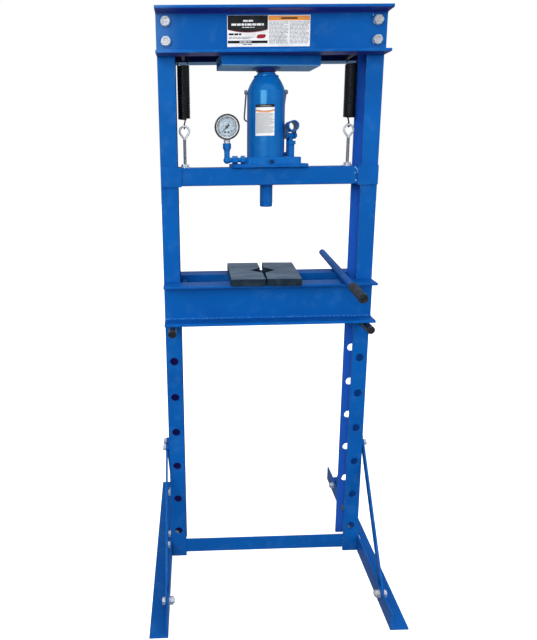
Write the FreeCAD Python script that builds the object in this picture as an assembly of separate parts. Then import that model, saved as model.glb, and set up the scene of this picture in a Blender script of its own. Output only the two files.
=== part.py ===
"""H-frame hydraulic shop press with a bottle jack, return springs and a height-adjustable bed.

Millimetres. X runs along the beams, -Y is the front where the operator stands, +Z is up.
The origin is on the floor, midway between the posts and midway between the foot ends.
"""
import FreeCAD, Part
import os
from math import acos, asin, cos, degrees, pi, radians, sin

Vec = FreeCAD.Vector
X_AXIS = Vec(1, 0, 0)
Y_AXIS = Vec(0, 1, 0)
Z_AXIS = Vec(0, 0, 1)

# ---- driving dimensions -------------------------------------------------------------------------
HEIGHT = 1500.0            # top of the head channels
POST_OUT = 276.0           # outer face of each post web
POST_WIDTH = 43.0          # along X, web plus flange
POST_DEPTH = 80.0          # along Y, over both flanges
POST_WALL = 5.0
POST_TOP = HEIGHT - 5.0
HOLE_R = 11.5              # bed height holes through both flanges
HOLE_FIRST = 85.0
HOLE_PITCH = 106.0
HOLE_COUNT = 7

HEAD_H = 102.0
HEAD_FLANGE = 46.0         # flange width including the web
CHANNEL_WEB = 6.0
CHANNEL_FLANGE = 7.0
BEAM_HALF = 276.5          # half length of the head channels
HEAD_BOLT_X = 253.0
HEAD_BOLT_RISES = (32.0, 76.0)
HEAD_BOLT_HOLE = 8.5
LABEL_LEFT = -107.0
LABEL_RIGHT = 91.0
LABEL_LOW = 1417.0
LABEL_HIGH = 1487.0
LABEL_THICK = 0.5

BOX_HALF_X = 122.0         # thrust box that the jack pushes against
BOX_HALF_Y = 46.0
BOX_H = 23.5
BOX_WALL = 6.0
BOX_TURN = 5.0             # degrees the box sits askew under the head
CUP_DROP = 9.5             # the flared cup under the box
CUP_LOW_R = 22.0
CUP_TOP_R = 33.0

FOOT_HALF = 300.0
FOOT_LEG = 47.0
FOOT_HEIGHT = 48.0
FOOT_WALL = 5.0
FOOT_BOLT_Y = 22.0
FOOT_BOLT_Z = 24.0
WEB_BOLT_Z = 184.0         # tie bolt whose thin nut leaves room for a bed pin
THIN_NUT_H = 5.2
SIDE_HOLE = 6.3            # holes for the M12 bolts of the feet and braces
CROSS_BRACE_HALF = 250.0
CROSS_BRACE_LOW = 8.0
CROSS_BRACE_HIGH = 50.0
CROSS_BRACE_THICK = 5.0

BRACE_WIDTH = 20.0
BRACE_THICK = 5.0
BRACE_TOP = (16.0, 343.0)      # (Y, Z) of the upper bolt, front brace mirrored
BRACE_FOOT = (221.0, 29.0)     # (Y, Z) of the lower bolt
BOLT_END = 14.0                # thread length past the clamped plates

BEAM_BOTTOM = 1088.0       # moving crossbeam
BEAM_TOP = 1133.0
BEAM_END = 232.0
BEAM_SIDE = 40.5
BEAM_WALL = 5.0
GUIDE_IN = 223.0
GUIDE_OUT = 275.0
GUIDE_THICK = 5.5
GUIDE_PROUD = 2.0          # guide plates stand this far past the beam, above and below
RAM_R = 16.4
RAM_BOTTOM = 1030.0
SEAT_HALF_X = 97.0
SEAT_HALF_Y = 55.0
SEAT_THICK = 8.0

BEAM_SHIFT = -3.0          # the ram, springs and eye bolts sit this far off the middle
JACK_SHIFT = -6.0          # and the jack and its cup this far
BOX_SHIFT = -3.5

TANK_R = 47.8
TANK_WALL = 2.5
SHOULDER_LOW = 1318.0      # where the tank starts to close in
SHOULDER_TOP = 1354.0
NECK_R = 29.5
GLAND_LOW = 1336.0
GLAND_R = 22.0
BASE_H = 17.0
BASE_LEFT = -54.0
BASE_RIGHT = 85.0
BASE_HALF_Y = 48.0
CYL_IN = 24.0
CYL_OUT = 30.0
ROD_R = 15.0
PISTON_H = 17.0
SCREW_R = 8.0
SCREW_LENGTH = 70.0
SADDLE_R = 17.2
RUN_GAP = 0.06             # running clearance between turned parts

RELEASE_X = 9.0            # release valve in the front of the base
RELEASE_R = 3.6
PLUG_Z = 1292.0            # oil filler at the back of the tank
TANK_LABEL_LOW = 1210.0
TANK_LABEL_H = 75.0
TANK_LABEL_HALF = 23.0
TANK_LABEL_TURN = 10.8     # degrees to the left of straight ahead

PUMP_X = 64.0
PUMP_R = 9.0
PUMP_TOP = 1190.0
PLUNGER_R = 5.0
PUMP_PIN_R = 3.0
LEVER_PIVOT_Y = 20.0
PLUNGER_Y = -8.0
LEVER_PIN_Z = 1211.0
SOCKET_Z = 1233.5
SOCKET_OUT = 13.5
SOCKET_IN = 11.0
SOCKET_FRONT = -44.0
SOCKET_LENGTH = 62.0

BAIL_PIVOT_Z = 1318.0
BAIL_HALF = 50.5
BAIL_LENGTH = 86.0
BAIL_LEAN = 38.0           # degrees from straight down, leaning on the back of the tank
BAIL_WIRE_R = 2.1
LUG_R = 2.6

GAUGE = Vec(-102.0, -35.0, 1232.0)
GAUGE_R = 31.2
GAUGE_DEPTH = 30.0
PIPE_Z = 1151.5
PIPE_R = 6.0

SPRING_X = 211.0
SPRING_R = 15.8
SPRING_WIRE = 3.6
SPRING_LOW = 1252.0
SPRING_HIGH = 1383.0
HANGER_Z = 1405.0
HANGER_R = 5.0
EYE_Z = 1224.5             # centre of the round part of each eye
EYE_MEAN_R = 12.0
EYE_WIRE_R = 2.8
EYE_DROP = 20.0            # from the eye's centre down to where its sides meet
EYE_SHANK_R = 3.6
EYE_NUT = 17.0

BED_BOTTOM = 730.6
BED_H = 107.0
BED_HALF = 275.0
BED_WEB_Y = 41.0
BED_SPACER_IN = 216.0
BED_SPACER_OUT = 228.0
PIN_R = 10.5
PIN_FRONT = -114.0
PIN_BACK = 106.0

BOLSTER = (88.0, 196.0, 20.0)
NOTCH_MOUTH = 66.0
NOTCH_DEPTH = 30.0
LEFT_BOLSTER = (-57.5, 1.0, -1.0)      # centre X, centre Y, turn in degrees
RIGHT_BOLSTER = (38.5, -1.0, -3.7)

HANDLE_FRONT = Vec(179.3, -258.5, 0.0)
HANDLE_BACK = Vec(225.0, 285.0, 0.0)
HANDLE_R = 10.0
HANDLE_BORE = 8.0
GRIP_R = 11.6
GRIP_LENGTH = 104.0

# ---- derived places -----------------------------------------------------------------------------
POST_IN = POST_OUT - POST_WIDTH
POST_FACE = POST_DEPTH / 2
HOLE_X = POST_OUT - POST_WIDTH / 2
HEAD_BOTTOM = HEIGHT - HEAD_H
BOX_BOTTOM = HEAD_BOTTOM - BOX_H
SEAT_TOP = BEAM_TOP + SEAT_THICK
BASE_TOP = SEAT_TOP + BASE_H
BED_TOP = BED_BOTTOM + BED_H
PIN_Z = HOLE_FIRST + HOLE_PITCH * (HOLE_COUNT - 1) - (HOLE_R - PIN_R) + 0.05
WEB_INSIDE = POST_OUT - POST_WALL
FOOT_FACE = POST_OUT + FOOT_WALL
BRACE_FACE = FOOT_FACE + BRACE_THICK
WEB_BOLT_PLACE = (0.0, WEB_BOLT_Z)
FOOT_BOLT_PLACES = [(FOOT_BOLT_Y, FOOT_BOLT_Z), (-FOOT_BOLT_Y, FOOT_BOLT_Z)]
BRACE_TOP_PLACES = [BRACE_TOP, (-BRACE_TOP[0], BRACE_TOP[1])]
BRACE_FOOT_PLACES = [BRACE_FOOT, (-BRACE_FOOT[0], BRACE_FOOT[1])]
PISTON_LOW = BASE_TOP + 5.0
ROD_TOP = BOX_BOTTOM - 12.5
RELEASE = Vec(RELEASE_X, -BASE_HALF_Y, SEAT_TOP + 5.8)
LINK_PIN_Z = BASE_TOP + 6.0
DIAL_Y = GAUGE.y - 2.0
LENS_Y = GAUGE.y - GAUGE_DEPTH / 2 + 2.0
HANDLE_Z = BED_TOP + HANDLE_R
HANDLE_AIM = (HANDLE_FRONT - HANDLE_BACK).normalize()


# ---- helpers ------------------------------------------------------------------------------------
def box(x0, x1, y0, y1, z0, z1):
    return Part.makeBox(x1 - x0, y1 - y0, z1 - z0, Vec(x0, y0, z0))


def rod(radius, start, end):
    axis = end - start
    return Part.makeCylinder(radius, axis.Length, start, axis)


def tube(r_out, r_in, start, end):
    return rod(r_out, start, end).cut(rod(r_in, start, end))


def fuse(shapes):
    body = shapes[0].fuse(shapes[1:])
    return body.removeSplitter()


def hexagon(across_flats, thick, start, axis):
    """Hexagonal prism whose base centre is start, pointing along axis."""
    corner = across_flats / 2 / cos(pi / 6)
    points = [Vec(corner * cos(radians(60 * k)), corner * sin(radians(60 * k)), 0) for k in range(7)]
    prism = Part.Face(Part.makePolygon(points)).extrude(Vec(0, 0, thick))
    prism.Placement = FreeCAD.Placement(start, FreeCAD.Rotation(Z_AXIS, axis))
    return prism


def chamfered_hex(across_flats, thick, start, axis, bore=0.0):
    """Hex head or nut with its outer corners turned off, as cold-formed ones are."""
    prism = hexagon(across_flats, thick, start, axis)
    corner = across_flats / 2 / cos(pi / 6)
    fall = (corner - across_flats / 2) * 0.6
    cone = Part.makeCone(corner + 0.01, across_flats / 2 + 0.2, fall, start + axis * (thick - fall), axis)
    barrel = Part.makeCylinder(corner + 0.01, thick - fall, start, axis)
    solid = prism.common(barrel.fuse(cone))
    return solid.cut(rod(bore, start - axis, start + axis * (thick + 1))) if bore else solid


def bolt(diameter, seat, axis, grip, across_flats, head_h, washer_r, washer_h):
    """Hex bolt with a washer under its head. seat is on the clamped face, axis points out of it."""
    washer = rod(washer_r, seat, seat + axis * washer_h)
    head = chamfered_hex(across_flats, head_h, seat + axis * washer_h, axis)
    dish = Part.makeCone(across_flats * 0.22, across_flats * 0.30, head_h * 0.12,
                         seat + axis * (washer_h + head_h * 0.88), axis)
    shank = rod(diameter / 2, seat - axis * grip, seat + axis * washer_h)
    return fuse([washer, head.cut(dish), shank])


def nut(diameter, seat, axis, across_flats, thick, washer_r, washer_h):
    """Nut and washer on the far side. seat is on the clamped face, axis points out of it."""
    washer = tube(washer_r, diameter / 2 + 0.05, seat, seat + axis * washer_h)
    body = chamfered_hex(across_flats, thick, seat + axis * washer_h, axis, diameter / 2 + 0.05)
    return washer.fuse(body).removeSplitter()


def mirror_x(shape):
    return shape.mirror(Vec(0, 0, 0), X_AXIS)


def mirror_y(shape):
    return shape.mirror(Vec(0, 0, 0), Y_AXIS)


def round_edges(shape, radius, keep):
    edges = [edge for edge in shape.Edges if keep(edge)]
    return shape.makeFillet(radius, edges) if edges else shape


def vertical(edge):
    ends = [vertex.Point for vertex in edge.Vertexes]
    return len(ends) == 2 and abs((ends[0] - ends[1]).normalize().z) > 0.999


def channel_section(half_length, web_y, flange, bottom, height, web, thick):
    """Rolled channel along X, web towards the centre and flanges to the front, with root fillets."""
    back = -web_y
    front = back - flange
    points = [Vec(0, back, bottom), Vec(0, front, bottom), Vec(0, front, bottom + thick),
              Vec(0, back - web, bottom + thick), Vec(0, back - web, bottom + height - thick),
              Vec(0, front, bottom + height - thick), Vec(0, front, bottom + height),
              Vec(0, back, bottom + height), Vec(0, back, bottom)]
    solid = Part.Face(Part.makePolygon(points)).extrude(Vec(2 * half_length, 0, 0))
    solid.translate(Vec(-half_length, 0, 0))

    def root(edge):
        mid = edge.CenterOfMass
        return (edge.Length > half_length and abs(mid.y - (back - web)) < 0.01
                and bottom + 1 < mid.z < bottom + height - 1)

    def toe(edge):
        mid = edge.CenterOfMass
        inner = abs(mid.z - bottom - thick) < 0.01 or abs(mid.z - bottom - height + thick) < 0.01
        return edge.Length > half_length and abs(mid.y - front) < 0.01 and inner

    solid = round_edges(solid, web, root)
    return round_edges(solid, thick * 0.45, toe)


# ---- frame --------------------------------------------------------------------------------------
def make_post():
    """Right-hand post: a channel open towards the middle, its web outside."""
    outer = box(POST_IN, POST_OUT, -POST_FACE, POST_FACE, 0, POST_TOP)
    hollow = box(POST_IN - 1, POST_OUT - POST_WALL, POST_WALL - POST_FACE, POST_FACE - POST_WALL,
                 -1, POST_TOP + 1)
    post = outer.cut(hollow)
    post = round_edges(post, 3.0, lambda e: vertical(e) and abs(e.CenterOfMass.x - POST_OUT) < 0.1)
    drills = []
    for step in range(HOLE_COUNT):
        z = HOLE_FIRST + step * HOLE_PITCH
        drills.append(rod(HOLE_R, Vec(HOLE_X, -POST_DEPTH, z), Vec(HOLE_X, POST_DEPTH, z)))
    for x, z in head_bolt_places(1):
        drills.append(rod(HEAD_BOLT_HOLE, Vec(x, -POST_DEPTH, z), Vec(x, POST_DEPTH, z)))
    for y, z in web_bolt_places():
        drills.append(rod(SIDE_HOLE, Vec(POST_OUT - 10, y, z), Vec(POST_OUT + 1, y, z)))
    return post.cut(Part.makeCompound(drills))


def head_bolt_places(side):
    return [(side * HEAD_BOLT_X, HEAD_BOTTOM + rise) for rise in HEAD_BOLT_RISES]


def web_bolt_places():
    return FOOT_BOLT_PLACES + [WEB_BOLT_PLACE] + BRACE_TOP_PLACES


def make_head_channel():
    channel = channel_section(BEAM_HALF, POST_FACE, HEAD_FLANGE, HEAD_BOTTOM, HEAD_H,
                              CHANNEL_WEB, CHANNEL_FLANGE)
    drills = [rod(HEAD_BOLT_HOLE, Vec(x, -POST_FACE - 20, z), Vec(x, -POST_FACE + 5, z))
              for side in (-1, 1) for x, z in head_bolt_places(side)]
    return channel.cut(Part.makeCompound(drills))


def make_thrust_box():
    outer = box(-BOX_HALF_X, BOX_HALF_X, -BOX_HALF_Y, BOX_HALF_Y, BOX_BOTTOM, HEAD_BOTTOM)
    outer = round_edges(outer, 4.0, lambda e: e.Length > 200 and e.CenterOfMass.z < BOX_BOTTOM + 1)
    hollow = box(-BOX_HALF_X - 1, BOX_HALF_X + 1, BOX_WALL - BOX_HALF_Y, BOX_HALF_Y - BOX_WALL,
                 BOX_BOTTOM + BOX_WALL, HEAD_BOTTOM - BOX_WALL)
    thrust_box = outer.cut(hollow)
    thrust_box.rotate(Vec(0, 0, 0), Z_AXIS, BOX_TURN)
    return thrust_box


def make_seat_ring():
    """Flared cup welded under the thrust box that keeps the jack saddle central."""
    low = BOX_BOTTOM - CUP_DROP
    cone = Part.makeCone(CUP_LOW_R, CUP_TOP_R, CUP_DROP, Vec(0, 0, low), Z_AXIS)
    return cone.cut(rod(SADDLE_R + 0.4, Vec(0, 0, low - 1), Vec(0, 0, BOX_BOTTOM + 1)))


def make_hanger_pins():
    inner = POST_FACE
    return [rod(HANGER_R, Vec(side * SPRING_X, -inner, HANGER_Z), Vec(side * SPRING_X, inner, HANGER_Z))
            for side in (-1, 1)]


def make_head_bolts():
    seat_y = POST_FACE + CHANNEL_WEB
    grip = CHANNEL_WEB + POST_WALL + 18.0
    front = [bolt(16.0, Vec(x, -seat_y, z), -Y_AXIS, grip, 20.5, 8.0, 11.4, 2.5)
             for side in (-1, 1) for x, z in head_bolt_places(side)]
    return front + [mirror_y(shape) for shape in front]


def make_head_nuts():
    seat_y = POST_FACE - POST_WALL
    front = [nut(16.0, Vec(x, -seat_y, z), Y_AXIS, 24.0, 13.0, 13.0, 2.0)
             for side in (-1, 1) for x, z in head_bolt_places(side)]
    return front + [mirror_y(shape) for shape in front]


def make_cross_brace():
    back = -POST_FACE + POST_WALL
    plate = box(-CROSS_BRACE_HALF, CROSS_BRACE_HALF, back, back + CROSS_BRACE_THICK,
                CROSS_BRACE_LOW, CROSS_BRACE_HIGH)
    return round_edges(plate, 1.2, lambda e: e.Length > CROSS_BRACE_HALF)


def make_foot():
    """Right-hand foot: an angle with its upright leg bolted to the post web."""
    leg = box(POST_OUT, POST_OUT + FOOT_WALL, -FOOT_HALF, FOOT_HALF, 0, FOOT_HEIGHT)
    flat = box(POST_OUT, POST_OUT + FOOT_LEG, -FOOT_HALF, FOOT_HALF, 0, FOOT_WALL)
    foot = fuse([leg, flat])

    def root(edge):
        mid = edge.CenterOfMass
        return (edge.Length > FOOT_HALF and abs(mid.x - POST_OUT - FOOT_WALL) < 0.01
                and abs(mid.z - FOOT_WALL) < 0.01)

    def toe(edge):
        mid = edge.CenterOfMass
        top = abs(mid.z - FOOT_HEIGHT) < 0.01 and abs(mid.x - POST_OUT - FOOT_WALL) < 0.01
        tip = abs(mid.x - POST_OUT - FOOT_LEG) < 0.01 and abs(mid.z - FOOT_WALL) < 0.01
        return edge.Length > FOOT_HALF and (top or tip)

    foot = round_edges(foot, 5.0, root)
    foot = round_edges(foot, 2.5, toe)
    spots = FOOT_BOLT_PLACES + BRACE_FOOT_PLACES
    drills = [rod(SIDE_HOLE, Vec(POST_OUT - 1, y, z), Vec(POST_OUT + 15, y, z)) for y, z in spots]
    return foot.cut(Part.makeCompound(drills))


def make_brace():
    """Right rear brace: a flat bar with round ends, in the plane just outside the foot's leg."""
    x0 = POST_OUT + FOOT_WALL
    top = Vec(x0, BRACE_TOP[0], BRACE_TOP[1])
    low = Vec(x0, BRACE_FOOT[0], BRACE_FOOT[1])
    along = (low - top).normalize()
    across = along.cross(X_AXIS) * (BRACE_WIDTH / 2)
    corners = [top + across, low + across, low - across, top - across, top + across]
    bar = Part.Face(Part.makePolygon(corners)).extrude(X_AXIS * BRACE_THICK)
    ends = [rod(BRACE_WIDTH / 2, point, point + X_AXIS * BRACE_THICK) for point in (top, low)]
    solid = fuse([bar] + ends)
    through = X_AXIS * (BRACE_THICK + 1)
    drills = [rod(SIDE_HOLE, point - X_AXIS, point + through) for point in (top, low)]
    return solid.cut(Part.makeCompound(drills))


def make_brace_spacers():
    right = [tube(BRACE_WIDTH / 2, SIDE_HOLE, Vec(POST_OUT, y, z), Vec(FOOT_FACE, y, z))
             for y, z in BRACE_TOP_PLACES]
    return right + [mirror_x(shape) for shape in right]


def side_bolts(places, seat_x, grip):
    right = [bolt(12.0, Vec(seat_x, y, z), X_AXIS, grip, 16.0, 6.4, 9.2, 1.6) for y, z in places]
    return right + [mirror_x(shape) for shape in right]


def side_nuts(places, seat_x):
    right = [nut(12.0, Vec(seat_x, y, z), -X_AXIS, 17.0, 9.5, 10.0, 1.6) for y, z in places]
    return right + [mirror_x(shape) for shape in right]


def make_foot_bolts():
    low = side_bolts(FOOT_BOLT_PLACES, FOOT_FACE, FOOT_WALL + POST_WALL + BOLT_END)
    return low + side_bolts([WEB_BOLT_PLACE], POST_OUT, POST_WALL + THIN_NUT_H)


def make_foot_nuts():
    y, z = WEB_BOLT_PLACE
    seat = Vec(WEB_INSIDE, y, z)
    thin = chamfered_hex(17.0, THIN_NUT_H, seat, -X_AXIS, 6.05)
    return side_nuts(FOOT_BOLT_PLACES, WEB_INSIDE) + [thin, mirror_x(thin)]


def make_brace_bolts():
    top = side_bolts(BRACE_TOP_PLACES, BRACE_FACE, BRACE_THICK + FOOT_WALL + POST_WALL + BOLT_END)
    return top + side_bolts(BRACE_FOOT_PLACES, BRACE_FACE, BRACE_THICK + FOOT_WALL + BOLT_END)


def make_brace_nuts():
    return side_nuts(BRACE_TOP_PLACES, WEB_INSIDE) + side_nuts(BRACE_FOOT_PLACES, POST_OUT)


def make_head_label():
    face = -(POST_FACE + CHANNEL_WEB)
    return box(LABEL_LEFT, LABEL_RIGHT, face - LABEL_THICK, face, LABEL_LOW, LABEL_HIGH)


# ---- jack ram, which stays against the head -----------------------------------------------------
def make_piston_rod():
    piston = rod(CYL_IN - RUN_GAP, Vec(0, 0, PISTON_LOW), Vec(0, 0, PISTON_LOW + PISTON_H))
    groove = tube(CYL_IN + 1, CYL_IN - 4, Vec(0, 0, PISTON_LOW + 5), Vec(0, 0, PISTON_LOW + 11))
    stem = rod(ROD_R, Vec(0, 0, PISTON_LOW), Vec(0, 0, ROD_TOP))
    thread = rod(SCREW_R + RUN_GAP, Vec(0, 0, ROD_TOP - SCREW_LENGTH - 5), Vec(0, 0, ROD_TOP + 1))
    return fuse([piston.cut(groove), stem]).cut(thread)


def make_piston_seal():
    return tube(CYL_IN - RUN_GAP / 2, CYL_IN - 4, Vec(0, 0, PISTON_LOW + 5), Vec(0, 0, PISTON_LOW + 11))


def make_extension_screw():
    saddle = rod(SADDLE_R, Vec(0, 0, ROD_TOP + 1), Vec(0, 0, BOX_BOTTOM - 0.1))
    for k in range(4):
        spin = radians(45 + 90 * k)
        ray = Vec(cos(spin), sin(spin), 0)
        top = Vec(0, 0, BOX_BOTTOM)
        saddle = saddle.cut(rod(1.6, top + ray * 4, top + ray * (SADDLE_R + 2)))
    return fuse([saddle, rod(SCREW_R, Vec(0, 0, ROD_TOP - SCREW_LENGTH), Vec(0, 0, ROD_TOP + 2))])


# ---- crossbeam and jack body, which move together ----------------------------------------------
def make_crossbeam():
    outer = box(-BEAM_END, BEAM_END, -BEAM_SIDE, BEAM_SIDE, BEAM_BOTTOM, BEAM_TOP)
    outer = round_edges(outer, 3.0, lambda e: e.Length > 400)
    hollow = box(-BEAM_END - 1, BEAM_END + 1, BEAM_WALL - BEAM_SIDE, BEAM_SIDE - BEAM_WALL,
                 BEAM_BOTTOM + BEAM_WALL, BEAM_TOP - BEAM_WALL)
    beam = outer.cut(hollow)
    drills = [rod(RAM_R, Vec(0, 0, BEAM_BOTTOM - 1), Vec(0, 0, BEAM_BOTTOM + BEAM_WALL + 1))]
    drills += [rod(EYE_SHANK_R + 0.3, Vec(side * SPRING_X, 0, BEAM_TOP - BEAM_WALL - 1),
                   Vec(side * SPRING_X, 0, BEAM_TOP + 1)) for side in (-1, 1)]
    holes = Part.makeCompound(drills)
    holes.translate(X_AXIS * BEAM_SHIFT)
    return beam.cut(holes)


def make_guide_plates():
    low = BEAM_BOTTOM - GUIDE_PROUD
    high = BEAM_TOP + GUIDE_PROUD
    plate = box(GUIDE_IN, GUIDE_OUT, -BEAM_SIDE - GUIDE_THICK, -BEAM_SIDE, low, high)
    plate = round_edges(plate, 2.0, lambda e: e.Length < GUIDE_THICK + 0.1)
    pair = [plate, mirror_y(plate)]
    return pair + [mirror_x(shape) for shape in pair]


def make_ram():
    shaft = rod(RAM_R, Vec(0, 0, RAM_BOTTOM), Vec(0, 0, BEAM_TOP - BEAM_WALL))
    return shaft.makeChamfer(1.5, [e for e in shaft.Edges if abs(e.CenterOfMass.z - RAM_BOTTOM) < 0.1])


def make_seat_plate():
    plate = box(-SEAT_HALF_X, SEAT_HALF_X, -SEAT_HALF_Y, SEAT_HALF_Y, BEAM_TOP, SEAT_TOP)
    return round_edges(plate, 14.0, vertical)


def make_jack_base():
    block = box(BASE_LEFT, BASE_RIGHT, -BASE_HALF_Y, BASE_HALF_Y, SEAT_TOP, BASE_TOP)
    block = round_edges(block, 12.0, vertical)
    block = round_edges(block, 3.0, lambda e: e.CenterOfMass.z > BASE_TOP - 0.1)
    ear_top = BASE_TOP + 12
    ears = [box(PUMP_X + side * 9 - 2, PUMP_X + side * 9 + 2, LEVER_PIVOT_Y - 7, LEVER_PIVOT_Y + 7,
                BASE_TOP - 2, ear_top) for side in (-1, 1)]
    base = fuse([block] + ears)
    drills = [rod(RELEASE_R + RUN_GAP, RELEASE - Y_AXIS, RELEASE + Y_AXIS * 26),
              rod(PUMP_PIN_R, Vec(PUMP_X - 12, LEVER_PIVOT_Y, LINK_PIN_Z),
                  Vec(PUMP_X + 12, LEVER_PIVOT_Y, LINK_PIN_Z)),
              rod(PIPE_R, Vec(BASE_LEFT - 1, GAUGE.y, PIPE_Z), Vec(BASE_LEFT + 14, GAUGE.y, PIPE_Z))]
    return base.cut(Part.makeCompound(drills))


def make_jack_cylinder():
    return tube(CYL_OUT, CYL_IN, Vec(0, 0, BASE_TOP), Vec(0, 0, GLAND_LOW))


def tank_profile(r_side, r_neck, z_top):
    """Solid of the tank: straight side, then a gently bowed conical shoulder to the neck."""
    low = Vec(r_side, 0, BASE_TOP)
    bend = Vec(r_side, 0, SHOULDER_LOW)
    middle = Vec(r_side - (r_side - r_neck) * 0.41, 0, SHOULDER_LOW + (z_top - SHOULDER_LOW) * 0.54)
    neck = Vec(r_neck, 0, z_top)
    edges = [Part.LineSegment(Vec(0, 0, BASE_TOP), low).toShape(),
             Part.LineSegment(low, bend).toShape(),
             Part.Arc(bend, middle, neck).toShape(),
             Part.LineSegment(neck, Vec(0, 0, z_top)).toShape(),
             Part.LineSegment(Vec(0, 0, z_top), Vec(0, 0, BASE_TOP)).toShape()]
    return Part.Face(Part.Wire(edges)).revolve(Vec(0, 0, 0), Z_AXIS, 360)


def make_jack_tank():
    shell = tank_profile(TANK_R, NECK_R, SHOULDER_TOP)
    inside = tank_profile(TANK_R - TANK_WALL, NECK_R - TANK_WALL, SHOULDER_TOP - TANK_WALL)
    floor_ring = rod(TANK_R - TANK_WALL, Vec(0, 0, BASE_TOP - 1), Vec(0, 0, BASE_TOP + 1))
    gland_hole = rod(GLAND_R, Vec(0, 0, SHOULDER_TOP - 10), Vec(0, 0, SHOULDER_TOP + 1))
    return shell.cut(inside).cut(floor_ring).cut(gland_hole)


def make_gland_nut():
    """Top nut that closes the cylinder and guides the rod."""
    flange = rod(CYL_OUT, Vec(0, 0, GLAND_LOW), Vec(0, 0, GLAND_LOW + 6))
    neck = rod(GLAND_R - RUN_GAP, Vec(0, 0, GLAND_LOW), Vec(0, 0, SHOULDER_TOP))
    rim = rod(NECK_R + 1.5, Vec(0, 0, SHOULDER_TOP + RUN_GAP / 2), Vec(0, 0, SHOULDER_TOP + 2.5))
    top = Part.makeCone(NECK_R - 1.5, CUP_LOW_R + 1, 8.4, Vec(0, 0, SHOULDER_TOP + RUN_GAP / 2), Z_AXIS)
    neck = neck.fuse(rod(GLAND_R - 1, Vec(0, 0, SHOULDER_TOP - 1), Vec(0, 0, SHOULDER_TOP + 1)))
    bore = rod(ROD_R + RUN_GAP, Vec(0, 0, GLAND_LOW - 1), Vec(0, 0, SHOULDER_TOP + 12))
    return fuse([flange, neck, rim, top]).cut(bore)


def make_oil_plug():
    stem = rod(5.0, Vec(0, TANK_R - 6, PLUG_Z), Vec(0, TANK_R + 1, PLUG_Z))
    cap = Part.makeCone(8.0, 6.5, 3.5, Vec(0, TANK_R + 0.3, PLUG_Z), Y_AXIS)
    return fuse([stem, cap])


def make_bail_lugs():
    pin = rod(LUG_R, Vec(TANK_R - 6, 0, BAIL_PIVOT_Z), Vec(BAIL_HALF + 3, 0, BAIL_PIVOT_Z))
    head = rod(4.6, Vec(BAIL_HALF + 2.4, 0, BAIL_PIVOT_Z), Vec(BAIL_HALF + 4.4, 0, BAIL_PIVOT_Z))
    right = fuse([pin, head])
    return [right, mirror_x(right)]


def make_jack_label():
    """Thin label wrapped on the front of the tank, turned a little to the left."""
    half = degrees(asin(TANK_LABEL_HALF / TANK_R))
    low = Vec(0, 0, TANK_LABEL_LOW)
    ring = Part.makeCylinder(TANK_R + 0.4, TANK_LABEL_H, low, Z_AXIS, 2 * half)
    patch = ring.cut(rod(TANK_R, low - Z_AXIS, low + Z_AXIS * (TANK_LABEL_H + 1)))
    patch.rotate(Vec(0, 0, 0), Z_AXIS, -90.0 - TANK_LABEL_TURN - half)
    return patch


def make_carry_bail():
    """Wire bail: two arms, two round corners and the bottom bar, leaning on the back of the tank."""
    bend = 12.0
    low = -BAIL_LENGTH
    inner = BAIL_HALF - bend
    end = Part.Face(Part.Wire(Part.makeCircle(BAIL_WIRE_R, Vec(BAIL_HALF, 0, low + bend), Z_AXIS)))
    corner = end.revolve(Vec(inner, 0, low + bend), Y_AXIS, 90)
    arm = rod(BAIL_WIRE_R, Vec(BAIL_HALF, 0, -4.0), Vec(BAIL_HALF, 0, low + bend))
    inside, outside = Vec(BAIL_HALF - BAIL_WIRE_R, 0, 0), Vec(BAIL_HALF + BAIL_WIRE_R, 0, 0)
    eye = tube(LUG_R + 3, LUG_R + 0.4, inside, outside)
    half = [corner, arm, eye]
    bar = rod(BAIL_WIRE_R, Vec(-inner, 0, low), Vec(inner, 0, low))
    bail = bar.fuse(half + [mirror_x(shape) for shape in half])
    bail.rotate(Vec(0, 0, 0), X_AXIS, BAIL_LEAN)
    bail.translate(Vec(0, 0, BAIL_PIVOT_Z))
    return bail


def make_pump_cylinder():
    body = rod(PUMP_R, Vec(PUMP_X, PLUNGER_Y, BASE_TOP), Vec(PUMP_X, PLUNGER_Y, PUMP_TOP))
    collar = chamfered_hex(21.0, 9.0, Vec(PUMP_X, PLUNGER_Y, PUMP_TOP - 1), Z_AXIS)
    bore = rod(PLUNGER_R + RUN_GAP, Vec(PUMP_X, PLUNGER_Y, BASE_TOP + 2),
               Vec(PUMP_X, PLUNGER_Y, PUMP_TOP + 10))
    return fuse([body, collar]).cut(bore)


def oblong(width, radius, drift=3.2):
    """Round-ended bar across the plunger at the lever pin, stretched backwards by the pin's arc."""
    half = width / 2
    starts = [Vec(PUMP_X - half, PLUNGER_Y + dy, LEVER_PIN_Z) for dy in (0.0, drift)]
    ends = [rod(radius, start, start + X_AXIS * width) for start in starts]
    middle = box(PUMP_X - half, PUMP_X + half, PLUNGER_Y, PLUNGER_Y + drift,
                 LEVER_PIN_Z - radius, LEVER_PIN_Z + radius)
    return fuse([middle] + ends)


def make_pump_plunger():
    """Plunger rod and the eye that the lever pin drives; the eye is slotted for the pin's arc."""
    stem = rod(PLUNGER_R, Vec(PUMP_X, PLUNGER_Y, BASE_TOP + 8), Vec(PUMP_X, PLUNGER_Y, LEVER_PIN_Z - 4))
    block = oblong(14.0, 6.5)
    slot = oblong(16.0, PUMP_PIN_R + 0.7)
    return fuse([stem, block]).cut(slot)


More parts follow.
